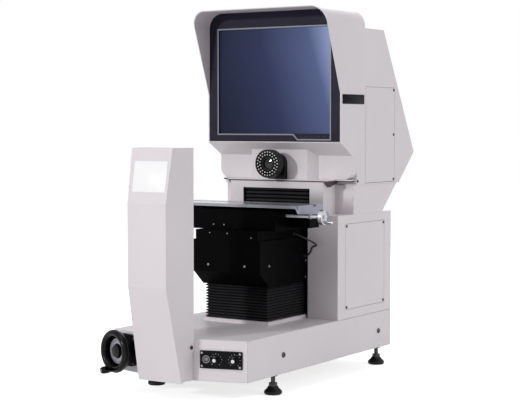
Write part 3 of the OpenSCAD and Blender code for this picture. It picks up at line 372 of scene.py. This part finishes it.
def screen_face(name):
    """Smooth panel, dark at the left and paler towards the upper right, where a reflection is painted."""
    low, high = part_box("screen_panel")
    finish = Finish(name, (0.02, 0.026, 0.08), rough=0.3)
    place = finish.axes()
    across = finish.ranged(place["X"], 0.0, 0.78, low[0], high[0])
    rise = finish.ranged(place["Z"], 0.0, 0.2, low[2], high[2])
    slope = finish.joined("ADD", across, rise)
    cloudy = finish.joined("MULTIPLY_ADD", finish.noise(5, detail=2.0), 0.06, slope)
    # The pale upper right of this ramp is a painted reflection on the panel
    tone = finish.ramp(cloudy, (
        (0.1, (0.0045, 0.0075, 0.028)), (0.5, (0.02, 0.028, 0.085)),
        (0.82, (0.082, 0.11, 0.245)), (1.0, (0.36, 0.44, 0.74))))
    finish.link(tone, finish.shader.inputs["Base Color"])
    finish.relief(finish.noise(1800, detail=2.0), strength=0.02, distance=0.0001)
    finish.set(**{"Specular IOR Level": 0.12})
    return finish.mat


def painted_shade_band(name, upper, lower, level, rough=0.5):
    """Paint with a lower band of another colour, parted at a height; the lower band is painted shade."""
    finish = Finish(name, upper, rough)
    blur = 0.2 * MM
    share = finish.ranged(finish.axes()["Z"], 0.0, 1.0, level - blur, level + blur)
    finish.link(finish.ramp(share, ((0.3, lower), (0.7, upper))), finish.shader.inputs["Base Color"])
    finish.uneven_gloss(20, spread=0.06)
    finish.relief(finish.noise(900, detail=2.0), strength=0.06, distance=0.0004)
    return finish.mat


def dress(finish, *nodes):
    """Gives CAD pieces a finish."""
    for name in nodes:
        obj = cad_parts[name]
        if not obj.data.materials:
            obj.data.materials.append(finish)
        for slot in obj.material_slots:
            slot.material = finish


# Settings

class ComparatorFinishes(bpy.types.PropertyGroup):
    """Colours of the main finishes"""
    enamel_colour: FloatVectorProperty(
        name="Enamel", description="Off-white paint of the casings", subtype="COLOR", size=3, min=0, max=1,
        default=(0.70, 0.655, 0.685))
    surround_colour: FloatVectorProperty(
        name="Screen surround", description="Dark plastic round the screen", subtype="COLOR", size=3,
        min=0, max=1, default=(0.0155, 0.014, 0.027))
    black_colour: FloatVectorProperty(
        name="Black parts", description="Carriage, saddle and table beam", subtype="COLOR", size=3,
        min=0, max=1, default=(0.0013, 0.0013, 0.0017))
    table_colour: FloatVectorProperty(
        name="Table", description="Anodised table plate", subtype="COLOR", size=3, min=0, max=1,
        default=(0.30, 0.30, 0.35))
    floor_colour: FloatVectorProperty(
        name="Floor", description="Pale floor", subtype="COLOR", size=3, min=0, max=1,
        default=(0.9, 0.9, 0.9))


class ComparatorSizes(bpy.types.PropertyGroup):
    """Counts, the cable's thickness and the power of the light"""
    lamp_count: IntProperty(
        name="Ring lamps", description="Lamps in the outer row of the ring light", default=24, min=8)
    dial_marks: IntProperty(
        name="Dial marks", description="Marks round the lift dial", default=50, min=10)
    cable_d: FloatProperty(
        name="Cable", description="Thickness of the encoder cable", default=0.005, unit="LENGTH")
    key_light: FloatProperty(
        name="Key light", description="Power of the key light", default=315.0, unit="POWER")
    fill_light: FloatProperty(
        name="Fill light", description="Power of the fill light", default=65.0, unit="POWER")


def finishes():
    """The colours set in the scene."""
    return bpy.context.scene.comparator_finishes


def sizes():
    """The counts, sizes and powers set in the scene."""
    return bpy.context.scene.comparator_sizes


# Operators, in the order in which they run

# Camera: place and lens in millimetres, aim in degrees, far limit in metres
CAMERA_PLACE = (2198.7, -3477.5, 714.2)
CAMERA_TILT = 86.99
CAMERA_TURN = 32.83
CAMERA_SENSOR = 36
CAMERA_LENS = 99.28
CAMERA_FAR = 50


class COMPARATOR_OT_camera(bpy.types.Operator):
    """Camera to the right front, at about the height of the screen's lower edge"""
    bl_idname = "comparator.camera"
    bl_label = "Camera"

    def execute(self, context):
        data = bpy.data.cameras.new("view")
        data.sensor_width = CAMERA_SENSOR
        data.lens = CAMERA_LENS
        data.clip_end = CAMERA_FAR
        obj = bpy.data.objects.new("view", data)
        obj.location = at(*CAMERA_PLACE)
        obj.rotation_euler = (math.radians(CAMERA_TILT), 0, math.radians(CAMERA_TURN))
        context.scene.collection.objects.link(obj)
        context.scene.camera = obj
        return {"FINISHED"}


# Encoder cable: middle line from the upper gland to the lower one, and steps in each stretch of it
CABLE_ROUTE = (
    (102, -61, 408), (111, -61, 408), (126, -53, 402), (141, -43, 393), (152, -34, 386),
    (159, -27, 379), (154, -19, 374), (144, -14, 372), (136, -12, 367), (133, -12, 358),
    (127, -13, 349), (119, -14, 344), (110, -14, 344),
)
CABLE_STEPS = 3


def smooth_run(points, steps):
    """A smooth line through all the points, each stretch cut into steps."""
    run = []
    last = len(points) - 1
    for i in range(last):
        before = points[max(i - 1, 0)]
        after = points[min(i + 2, last)]
        a, b = points[i], points[i + 1]
        for k in range(steps):
            t = k / steps
            run.append(0.5 * (
                2 * a + (b - before) * t + (2 * before - 5 * a + 4 * b - after) * t ** 2
                + (3 * a - before - 3 * b + after) * t ** 3))
    run.append(points[-1])
    return run


class COMPARATOR_OT_cable(bpy.types.Operator):
    """Encoder cable that loops out of the carriage and back"""
    bl_idname = "comparator.cable"
    bl_label = "Encoder cable"

    def execute(self, context):
        points = [at(*p) for p in CABLE_ROUTE]
        run = smooth_run(points, CABLE_STEPS)
        curve = bpy.data.curves.new("encoder_cable_run", "CURVE")
        curve.dimensions = "3D"
        curve.bevel_depth = sizes().cable_d / 2
        curve.bevel_resolution = 4
        curve.use_fill_caps = True
        spline = curve.splines.new("POLY")
        spline.points.add(len(run) - 1)
        for point, p in zip(spline.points, run):
            point.co = (*p, 1)
        curve.materials.append(soft_rubber("cable_sheath", (0.012, 0.012, 0.013)))
        obj = bpy.data.objects.new("encoder_cable_run", curve)
        context.scene.collection.objects.link(obj)
        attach(obj, "lift")
        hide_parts("encoder_cable")
        return {"FINISHED"}


# Pale upper band on the edge of the plate under the head; the edge below it is painted shade
SHELF_BAND = 3.2


class COMPARATOR_OT_casings(bpy.types.Operator):
    """Off-white enamel on the casings, and finishes of the frame, feet and guides"""
    bl_idname = "comparator.casings"
    bl_label = "Casings"

    def execute(self, context):
        colour = tuple(finishes().enamel_colour)
        dress(enamel("casting_enamel", colour, rough=0.46, edge=0.003), "base_frame", "tower_frame")
        dress(enamel("sheet_enamel", colour, rough=0.4),
              "cabinet_shell", "cabinet_side_panels", "rear_door", "neck_housing", "guide_cover",
              "head_shell", "head_side_panels", "lens_shroud", "lens_block")
        dress(enamel("tower_enamel", colour, rough=0.4), "tower_cover")
        dress(enamel("plate_gray", (0.07, 0.066, 0.06), rough=0.5), "base_plate")
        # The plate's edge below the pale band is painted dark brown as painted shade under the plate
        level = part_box("head_base_plate")[1][2] - SHELF_BAND * MM
        dress(painted_shade_band("shelf_painted_shade", colour, (0.045, 0.032, 0.028), level), "head_base_plate")
        dress(black_paint("column_primer", (0.16, 0.17, 0.18), rough=0.6), "column", "lift_gearbox")
        dress(machined("screw_black", (0.05, 0.045, 0.05), rough=0.35, stretch=(1, 1, 1), metal=0.5),
              "casing_screws")
        dress(machined("stud_black", (0.035, 0.032, 0.034), rough=0.22, stretch=(1, 1, 6), metal=0.5),
              "foot_hardware")
        dress(machined("shaft_steel", (0.5, 0.5, 0.52), rough=0.3, stretch=(1, 1, 6)),
              "guide_rails", "guide_blocks", "lift_screw", "lift_shaft")
        dress(soft_rubber("foot_rubber", (0.006, 0.006, 0.007)), "foot_pads")
        return {"FINISHED"}


class COMPARATOR_OT_screen(bpy.types.Operator):
    """Screen surround, trim, keys and panel"""
    bl_idname = "comparator.screen"
    bl_label = "Screen"

    def execute(self, context):
        surround = tuple(finishes().surround_colour)
        dress(moulded("surround_plastic", surround, rough=0.5, grain=0.1, shine=0.1), "monitor_bezel")
        dress(machined("trim_silver", (0.15, 0.155, 0.19), rough=0.45, stretch=(1, 8, 8), metal=0.3),
              "trim_frame")
        dress(screen_face("screen_face"), "screen_panel")
        dress(moulded("key_black", (0.01, 0.01, 0.012), rough=0.35), *(f"button_{i}" for i in range(1, 6)))
        return {"FINISHED"}


class COMPARATOR_OT_carriage(bpy.types.Operator):
    """Black carriage and saddle, the table, the cable glands and the lift nut"""
    bl_idname = "comparator.carriage"
    bl_label = "Carriage and table"

    def execute(self, context):
        black = tuple(finishes().black_colour)
        dress(black_paint("carriage_black", black, rough=0.45, shine=0.018),
              "carriage_body", "saddle", "table_beam")
        table = tuple(finishes().table_colour)
        dress(machined("table_anodised", table, rough=0.14, stretch=(1, 12, 12), metal=0.1, spread=0.04),
              "table")
        dress(machined("end_anodised", (0.28, 0.28, 0.37), rough=0.38, stretch=(12, 1, 12), metal=0.3),
              "table_end_plate")
        dress(moulded("gland_black", (0.012, 0.012, 0.013)), "cable_glands")
        dress(machined("nut_bronze", (0.55, 0.4, 0.16), rough=0.35, stretch=(1, 1, 6)), "lift_nut")
        return {"FINISHED"}


class COMPARATOR_OT_covers(bpy.types.Operator):
    """Pleated covers: copies of the CAD bellows in the pleated cloth finish"""
    bl_idname = "comparator.covers"
    bl_label = "Pleated covers"

    def execute(self, context):
        # The lighter second colour is a painted highlight on the pleats' upward slopes
        cloth = pleated_cloth("bellows_cloth", (0.003, 0.003, 0.0035), painted_highlight=(0.034, 0.034, 0.037))
        for node, below, above in (("bellows", ROOT, "lift"), ("upper_bellows", "lift", ROOT)):
            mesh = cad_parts[node].data.copy()
            mesh.name = f"{node}_cover"
            mesh.materials.clear()
            mesh.materials.append(cloth)
            obj = bpy.data.objects.new(mesh.name, mesh)
            context.scene.collection.objects.link(obj)
            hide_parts(node)
            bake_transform(obj)
        return {"FINISHED"}


class COMPARATOR_OT_drives(bpy.types.Operator):
    """Handwheels, cranks, knobs and the control panel"""
    bl_idname = "comparator.drives"
    bl_label = "Drives and controls"

    def execute(self, context):
        dress(moulded("wheel_black", (0.0016, 0.0016, 0.002), rough=0.22, grain=0.05, shine=0.14),
              "lift_handwheel", "lift_crank_handle")
        dress(black_paint("flange_black", (0.003, 0.003, 0.0035), rough=0.45, shine=0.06), "wheel_flange")
        dress(machined("dial_satin", (0.3, 0.295, 0.34), rough=0.42, stretch=(1, 1, 1), metal=0.3),
              "dial_ring")
        dress(machined("crank_bright", (0.5, 0.5, 0.53), rough=0.26, stretch=(10, 1, 1)),
              "x_handwheel", "x_crank_handle")
        dress(machined("rod_bright", (0.9, 0.9, 0.9), rough=0.45, stretch=(10, 1, 1), metal=0.6),
              "x_leadscrew")
        dress(moulded("panel_black", (0.0025, 0.0024, 0.004), rough=0.42, grain=0.08, shine=0.08),
              "control_panel")
        dress(machined("socket_gray", (0.2, 0.2, 0.2), rough=0.35, stretch=(1, 1, 1), metal=0.6),
              "panel_socket")
        dress(moulded("knob_black", (0.003, 0.003, 0.0035), rough=0.3, grain=0.06, shine=0.12),
              "knob_contour", "knob_surface")
        return {"FINISHED"}


# Ring light: board set back from the ring's face, radii of the lamp rows, and one lamp in profile
RING_SETBACK = 3
RING_BOARD_T = 0.6
RING_BOARD = mm((20, 0), (20, RING_BOARD_T), (36.5, RING_BOARD_T), (36.5, 0))
RING_ROWS = (33.4, 25.6)
RING_LAMP = mm((2.0, 0), (2.0, 0.7), (1.5, 1.5), (0.7, 1.9), (0, 2.0))


class COMPARATOR_OT_optics(bpy.types.Operator):
    """Lens, ring light and collimator"""
    bl_idname = "comparator.optics"
    bl_label = "Optics"

    def execute(self, context):
        dress(black_paint("lens_black", (0.005, 0.005, 0.006), rough=0.4, shine=0.15),
              "lens_mount", "lens_barrel", "camera", "collimator")
        dress(moulded("ring_black", (0.005, 0.005, 0.006), rough=0.35), "ring_light")
        dress(lens_glass("coated_glass", (0.006, 0.006, 0.007)), "objective_glass", "collimator_lens")
        dress(machined("lamp_alloy", (0.5, 0.5, 0.52), rough=0.3, stretch=(1, 1, 1)), "lamp_module")
        middle = centre("ring_light")
        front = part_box("ring_light")[0][1]
        face = facing((middle.x, front + RING_SETBACK * MM, middle.z), (0, -1, 0))
        board = bmesh.new()
        add_turned(board, face, RING_BOARD, 48)
        black = black_paint("board_black", (0.003, 0.003, 0.003), rough=0.5, shine=0.03)
        piece("ring_board", board, black, ROOT)
        lamps = bmesh.new()
        for row, radius in enumerate(RING_ROWS):
            count = round(sizes().lamp_count * radius / RING_ROWS[0])
            for k in range(count):
                a = math.tau * (k + 0.5 * row) / count
                spot = (radius * MM * math.cos(a), radius * MM * math.sin(a), RING_BOARD_T * MM)
                add_turned(lamps, face @ Matrix.Translation(spot), RING_LAMP, 12)
        clear = moulded("lamp_clear", (0.74, 0.74, 0.72), rough=0.2, grain=0.05, shine=0.6)
        piece("ring_lamps", lamps, clear, ROOT)
        return {"FINISHED"}


# Bare plates: width, height, and the corner radius of both
SIDE_PLATE = (125, 27)
TOWER_PLATE = (104, 79)
PLATE_CORNER = 2
# Middle of the plate on the head's side
SIDE_PLATE_Y = 69.5
SIDE_PLATE_Z = 785.5
# The tower's upper front leans back from its fold; the plate's middle lies above the fold
TOWER_LEAN = math.radians(10)
TOWER_FRONT = -598
TOWER_PLATE_RISE = 68.8
TOWER_PLATE_X = 2
TOWER_PLATE_Z = 582.8


class COMPARATOR_OT_plates(bpy.types.Operator):
    """Bare plates on the head side and on the tower"""
    bl_idname = "comparator.plates"
    bl_label = "Plates"

    def execute(self, context):
        side = bmesh.new()
        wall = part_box("head_shell")[1][0]
        m = facing((wall, *at(0, SIDE_PLATE_Y, SIDE_PLATE_Z)[1:]), (1, 0, 0))
        add_slab(side, m, self.shape(SIDE_PLATE), thick=1 * MM, edge=0.4 * MM)
        black = moulded("plate_black", (0.004, 0.004, 0.005), rough=0.4, grain=0.05, shine=0.05)
        piece("side_plate", side, black, ROOT)
        front = bmesh.new()
        y = TOWER_FRONT + TOWER_PLATE_RISE * math.tan(TOWER_LEAN)
        out = (0, -math.cos(TOWER_LEAN), math.sin(TOWER_LEAN))
        m = facing(at(TOWER_PLATE_X, y, TOWER_PLATE_Z), out)
        add_slab(front, m, self.shape(TOWER_PLATE), thick=0.5 * MM, edge=0.2 * MM)
        white = enamel("plate_white", (0.9, 0.9, 0.91), rough=0.4, edge=0.0005)
        piece("tower_plate", front, white, ROOT)
        return {"FINISHED"}

    @staticmethod
    def shape(size):
        """Outline of a plate with its corners rounded."""
        w, h = size
        return outline(w * MM, h * MM, PLATE_CORNER * MM)


# Lift dial: height of the marks over the ring's middle, radius at which they end, their length and width
DIAL_FACE = 2
DIAL_EDGE = 32.5
DIAL_LONG = (8, 0.9)
DIAL_SHORT = (4.5, 0.6)
INK = 0.12
GRIP_SCREW = mm((4, -0.4), (4, 0.2), (3.4, 0.4), (0, 0.4))


class COMPARATOR_OT_dial(bpy.types.Operator):
    """Marks on the lift dial and the screw in the end of the lift grip"""
    bl_idname = "comparator.dial"
    bl_label = "Dial marks and grip screw"

    def execute(self, context):
        face = facing(centre("dial_ring") + LEFT_FACE * DIAL_FACE * MM, LEFT_FACE)
        marks = bmesh.new()
        count = sizes().dial_marks
        for k in range(count):
            length, width = DIAL_SHORT if k % 5 else DIAL_LONG
            turn = Matrix.Rotation(math.tau * k / count, 4, "Z")
            spot = face @ turn @ Matrix.Translation(((DIAL_EDGE - length / 2) * MM, 0, 0))
            add_bar(marks, spot, length * MM, width * MM, INK * MM)
        ink = moulded("mark_ink", (0.015, 0.015, 0.016), rough=0.5)
        piece("dial_marks", marks, ink, "lift_wheel")
        grip = "lift_crank_handle"
        screw = bmesh.new()
        end = facing(centre(grip) + LEFT_FACE * reach(grip, LEFT_FACE), LEFT_FACE)
        add_turned(screw, end, GRIP_SCREW)
        gray = machined("screw_gray", (0.3, 0.3, 0.31), rough=0.45, stretch=(1, 1, 1), metal=0.2)
        piece("grip_screw", screw, gray, "lift_handle")
        return {"FINISHED"}


# Control panel: height of its face over its middle
PANEL_FACE = 1.5
# Knobs: cap in profile, and a scale of marks with their angles, radius, lengths and width
KNOB_CAP = mm((0, -0.2), (4.6, -0.2), (4.6, 0.5), (3.9, 0.9), (0, 1.0))
KNOB_MARKS = 11
KNOB_FIRST = -50
KNOB_STEP = 28
KNOB_SCALE_R = 15.5
KNOB_LONG = 2.6
KNOB_SHORT = 1.6
KNOB_MARK_W = 0.8


class COMPARATOR_OT_knobs(bpy.types.Operator):
    """White caps on the knobs and the scales round them"""
    bl_idname = "comparator.knobs"
    bl_label = "Knob caps and scales"

    def execute(self, context):
        white = moulded("cap_white", (0.75, 0.74, 0.72), rough=0.4, grain=0.05)
        scale = bmesh.new()
        panel = centre("control_panel")
        for node, body in (("knob_contour", "knob_left"), ("knob_surface", "knob_right")):
            middle = centre(node)
            cap = bmesh.new()
            add_turned(cap, facing(middle + RIGHT_FACE * reach(node, RIGHT_FACE), RIGHT_FACE), KNOB_CAP)
            piece(f"{node}_cap", cap, white, body)
            away = (middle - panel).dot(RIGHT_FACE)
            flat = facing(middle - RIGHT_FACE * (away - PANEL_FACE * MM), RIGHT_FACE)
            for k in range(KNOB_MARKS):
                turn = Matrix.Rotation(math.radians(KNOB_FIRST + KNOB_STEP * k), 4, "Z")
                spot = flat @ turn @ Matrix.Translation((KNOB_SCALE_R * MM, 0, 0))
                length = KNOB_SHORT if k % 5 else KNOB_LONG
                add_bar(scale, spot, length * MM, KNOB_MARK_W * MM, INK * MM)
        piece("knob_scale", scale, white, ROOT)
        return {"FINISHED"}


# Round socket: insert in profile and its height, crossed blades, and pins on a circle
SOCKET_INSERT_H = 0.4
SOCKET_INSERT = mm((0, SOCKET_INSERT_H), (7.6, SOCKET_INSERT_H), (7.6, 0), (0, 0))
SOCKET_BLADE = (11, 1.8, 0.5)
SOCKET_BLADE_TURNS = (45, 135)
SOCKET_PIN = mm((1.1, 0), (1.1, 0.6), (0, 0.6))
SOCKET_PINS = 4
SOCKET_PIN_R = 4.4
# Panel screws: places on the panel, height over its face and a head in profile
PANEL_SCREWS = ((-51, -17), (-51, 17), (51, -17), (51, 17))
PANEL_SCREW_Z = 2.4
PANEL_SCREW = mm((2.9, 0), (2.9, 0.3), (2.2, 0.7), (0, 0.8))


class COMPARATOR_OT_panel_fittings(bpy.types.Operator):
    """Insert and contacts of the round socket, and the four screws of the control panel"""
    bl_idname = "comparator.panel_fittings"
    bl_label = "Control panel fittings"

    def execute(self, context):
        seat = facing(centre("panel_socket"), RIGHT_FACE)
        core = bmesh.new()
        add_turned(core, seat, SOCKET_INSERT)
        black = moulded("core_black", (0.006, 0.006, 0.007), rough=0.4)
        piece("socket_core", core, black, ROOT)
        contacts = bmesh.new()
        for turn in SOCKET_BLADE_TURNS:
            m = seat @ Matrix.Rotation(math.radians(turn), 4, "Z")
            m = m @ Matrix.Translation((0, 0, SOCKET_INSERT_H * MM))
            add_bar(contacts, m, *(v * MM for v in SOCKET_BLADE))
        for k in range(SOCKET_PINS):
            m = seat @ Matrix.Rotation(math.tau * k / SOCKET_PINS, 4, "Z")
            m = m @ Matrix.Translation((SOCKET_PIN_R * MM, 0, SOCKET_INSERT_H * MM))
            add_turned(contacts, m, SOCKET_PIN, 10)
        bright = machined("fitting_bright", (0.27, 0.27, 0.28), rough=0.35, stretch=(1, 1, 1), metal=0.4)
        piece("socket_contacts", contacts, bright, ROOT)
        heads = bmesh.new()
        flat = facing(centre("control_panel") + RIGHT_FACE * PANEL_FACE * MM, RIGHT_FACE)
        for x, y in PANEL_SCREWS:
            m = flat @ Matrix.Translation((x * MM, y * MM, PANEL_SCREW_Z * MM))
            add_turned(heads, m, PANEL_SCREW, 16)
        piece("panel_screws", heads, bright, ROOT)
        return {"FINISHED"}


# Socket screw head in profile, for a scale of 1
SCREW_HEAD = ((3.5, 0), (3.5, 1.2), (3.0, 1.7), (1.6, 1.7), (1.6, 0.6), (0, 0.6))
# Screws on the carriage: on its front, on both its sides, and the small ones on carriage and saddle
CARRIAGE_FRONT = -240
SADDLE_FRONT = -205
CARRIAGE_SIDE = 110
FRONT_SCREWS = ((-60, 329), (60, 329))
SIDE_SCREWS = ((-195, 329), (-2, 330), (-2, 283))
SMALL_SCREWS = (
    (-66, SADDLE_FRONT, 438), (-31, SADDLE_FRONT, 438),
    (-55, CARRIAGE_FRONT, 417), (3, CARRIAGE_FRONT, 417), (81, CARRIAGE_FRONT, 408),
)
SMALL_SCALE = 0.55
# Screws on both sides of the tower's foot
TOWER_SIDE = 74.2
TOWER_SCREW_Y = -509
TOWER_SCREW_Z = 144
TOWER_SCALE = 1.5


class COMPARATOR_OT_screws(bpy.types.Operator):
    """Socket screws on the carriage, the saddle and the foot of the tower"""
    bl_idname = "comparator.screws"
    bl_label = "Carriage and tower screws"

    def execute(self, context):
        heads = bmesh.new()
        for x, z in FRONT_SCREWS:
            self.head(heads, facing(at(x, CARRIAGE_FRONT, z), (0, -1, 0)))
        for y, z in SIDE_SCREWS:
            for side in (1, -1):
                self.head(heads, facing(at(side * CARRIAGE_SIDE, y, z), (side, 0, 0)))
        for place in SMALL_SCREWS:
            self.head(heads, facing(at(*place), (0, -1, 0)), SMALL_SCALE)
        bright = machined("screw_bright", (0.22, 0.22, 0.23), rough=0.3, stretch=(1, 1, 1))
        piece("carriage_screws", heads, bright, "lift")
        tower = bmesh.new()
        for side in (-1, 1):
            place = at(side * TOWER_SIDE, TOWER_SCREW_Y, TOWER_SCREW_Z)
            self.head(tower, facing(place, (side, 0, 0)), TOWER_SCALE)
        dark = machined("screw_dark", (0.06, 0.05, 0.05), rough=0.3, stretch=(1, 1, 1), metal=0.6)
        piece("tower_screws", tower, dark, ROOT)
        return {"FINISHED"}

    @staticmethod
    def head(bm, m, scale=1.0):
        """One screw head with its socket, on plane m."""
        unit = scale * MM
        add_turned(bm, m, [(r * unit, h * unit) for r, h in SCREW_HEAD], 18)


# Lamps: place and size in metres, the setting that gives the power and the share of it
LAMPS = (
    ("key", (-2.79, -8.28, 2.8), 0.63, "key_light", 1.0),
    ("fill", (4.4, 0.5, 1.6), 3.2, "fill_light", 1.0),
    ("top", (0.0, 0.6, 3.6), 2.6, "fill_light", 0.25),
    ("over", (-0.3, -2.3, 3.4), 1.8, "fill_light", 0.4),
    ("rear", (-1.2, 3.4, 2.0), 2.4, "fill_light", 0.4),
)
LAMP_AIM = Vector((0, 0, 0.55))
# Surround: strength where it lights the object and where it is seen
WORLD_LIT = 0.3
WORLD_SEEN = 1.0
# Floor: half its width in metres, and the glow it is seen with
FLOOR_HALF = 12
FLOOR_GLOW = 0.74


class COMPARATOR_OT_stage(bpy.types.Operator):
    """Pale floor, studio light mainly from the left and a white surround"""
    bl_idname = "comparator.stage"
    bl_label = "Stage"

    def execute(self, context):
        scene = context.scene
        scene.view_settings.view_transform = "Standard"
        floor = bmesh.new()
        bmesh.ops.create_grid(floor, x_segments=1, y_segments=1, size=FLOOR_HALF)
        mesh = bpy.data.meshes.new("floor")
        floor.to_mesh(mesh)
        floor.free()
        obj = bpy.data.objects.new("floor", mesh)
        scene.collection.objects.link(obj)
        mesh.materials.append(self.floor_finish())
        for name, place, size, power, share in LAMPS:
            self.lamp(name, place, size, getattr(sizes(), power) * share)
        world = bpy.data.worlds.new("studio")
        scene.world = world
        world.use_nodes = True
        tree = world.node_tree
        back = tree.nodes["Background"]
        back.inputs["Color"].default_value = (1, 1, 1, 1)
        level = tree.nodes.new("ShaderNodeMapRange")
        level.inputs["To Min"].default_value = WORLD_LIT
        level.inputs["To Max"].default_value = WORLD_SEEN
        tree.links.new(self.seen(tree), level.inputs["Value"])
        tree.links.new(level.outputs["Result"], back.inputs["Strength"])
        return {"FINISHED"}

    @staticmethod
    def lamp(name, place, size, power):
        """A round soft lamp aimed at the middle of the machine."""
        data = bpy.data.lights.new(name, "AREA")
        data.shape = "DISK"
        data.size = size
        data.energy = power
        obj = bpy.data.objects.new(name, data)
        obj.location = place
        obj.rotation_euler = (LAMP_AIM - Vector(place)).to_track_quat("-Z", "Y").to_euler()
        bpy.context.scene.collection.objects.link(obj)

    @staticmethod
    def seen(tree):
        """1 for rays of the camera and for rays that metal and glass send on, else 0."""
        path = tree.nodes.new("ShaderNodeLightPath")
        total = path.outputs["Is Camera Ray"]
        for name in ("Is Glossy Ray", "Is Transmission Ray"):
            add = tree.nodes.new("ShaderNodeMath")
            add.operation = "ADD"
            add.use_clamp = True
            tree.links.new(total, add.inputs[0])
            tree.links.new(path.outputs[name], add.inputs[1])
            total = add.outputs[0]
        return total

    def floor_finish(self):
        """Pale floor that shows as white where it is lit and keeps the shadow."""
        finish = Finish("floor_pale", tuple(finishes().floor_colour), rough=0.8)
        finish.mottle(2.0, spread=0.01)
        finish.set(**{"Specular IOR Level": 0.0, "Emission Color": (1, 1, 1, 1)})
        glow = finish.joined("MULTIPLY", self.seen(finish.tree), FLOOR_GLOW)
        finish.link(glow, finish.shader.inputs["Emission Strength"])
        return finish.mat


class COMPARATOR_PT_panel(bpy.types.Panel):
    """Settings and operators in the sidebar"""
    bl_idname = "COMPARATOR_PT_panel"
    bl_label = "Video comparator"
    bl_space_type = "VIEW_3D"
    bl_region_type = "UI"
    bl_category = "Comparator"

    def draw(self, context):
        for name in ComparatorFinishes.__annotations__:
            self.layout.prop(context.scene.comparator_finishes, name)
        for name in ComparatorSizes.__annotations__:
            self.layout.prop(context.scene.comparator_sizes, name)
        for operator in OPERATORS:
            self.layout.operator(operator.bl_idname)


OPERATORS = (
    COMPARATOR_OT_camera,
    COMPARATOR_OT_cable,
    COMPARATOR_OT_casings,
    COMPARATOR_OT_screen,
    COMPARATOR_OT_carriage,
    COMPARATOR_OT_covers,
    COMPARATOR_OT_drives,
    COMPARATOR_OT_optics,
    COMPARATOR_OT_plates,
    COMPARATOR_OT_dial,
    COMPARATOR_OT_knobs,
    COMPARATOR_OT_panel_fittings,
    COMPARATOR_OT_screws,
    COMPARATOR_OT_stage,
)
CLASSES = (ComparatorFinishes, ComparatorSizes, *OPERATORS, COMPARATOR_PT_panel)


def register():
    for item in CLASSES:
        bpy.utils.register_class(item)
    bpy.types.Scene.comparator_finishes = PointerProperty(type=ComparatorFinishes)
    bpy.types.Scene.comparator_sizes = PointerProperty(type=ComparatorSizes)


def unregister():
    del bpy.types.Scene.comparator_sizes
    del bpy.types.Scene.comparator_finishes
    for item in reversed(CLASSES):
        bpy.utils.unregister_class(item)


def main():
    register()
    for operator in OPERATORS:
        group, name = operator.bl_idname.split(".")
        getattr(getattr(bpy.ops, group), name)()


if __name__ == "__main__":
    main()
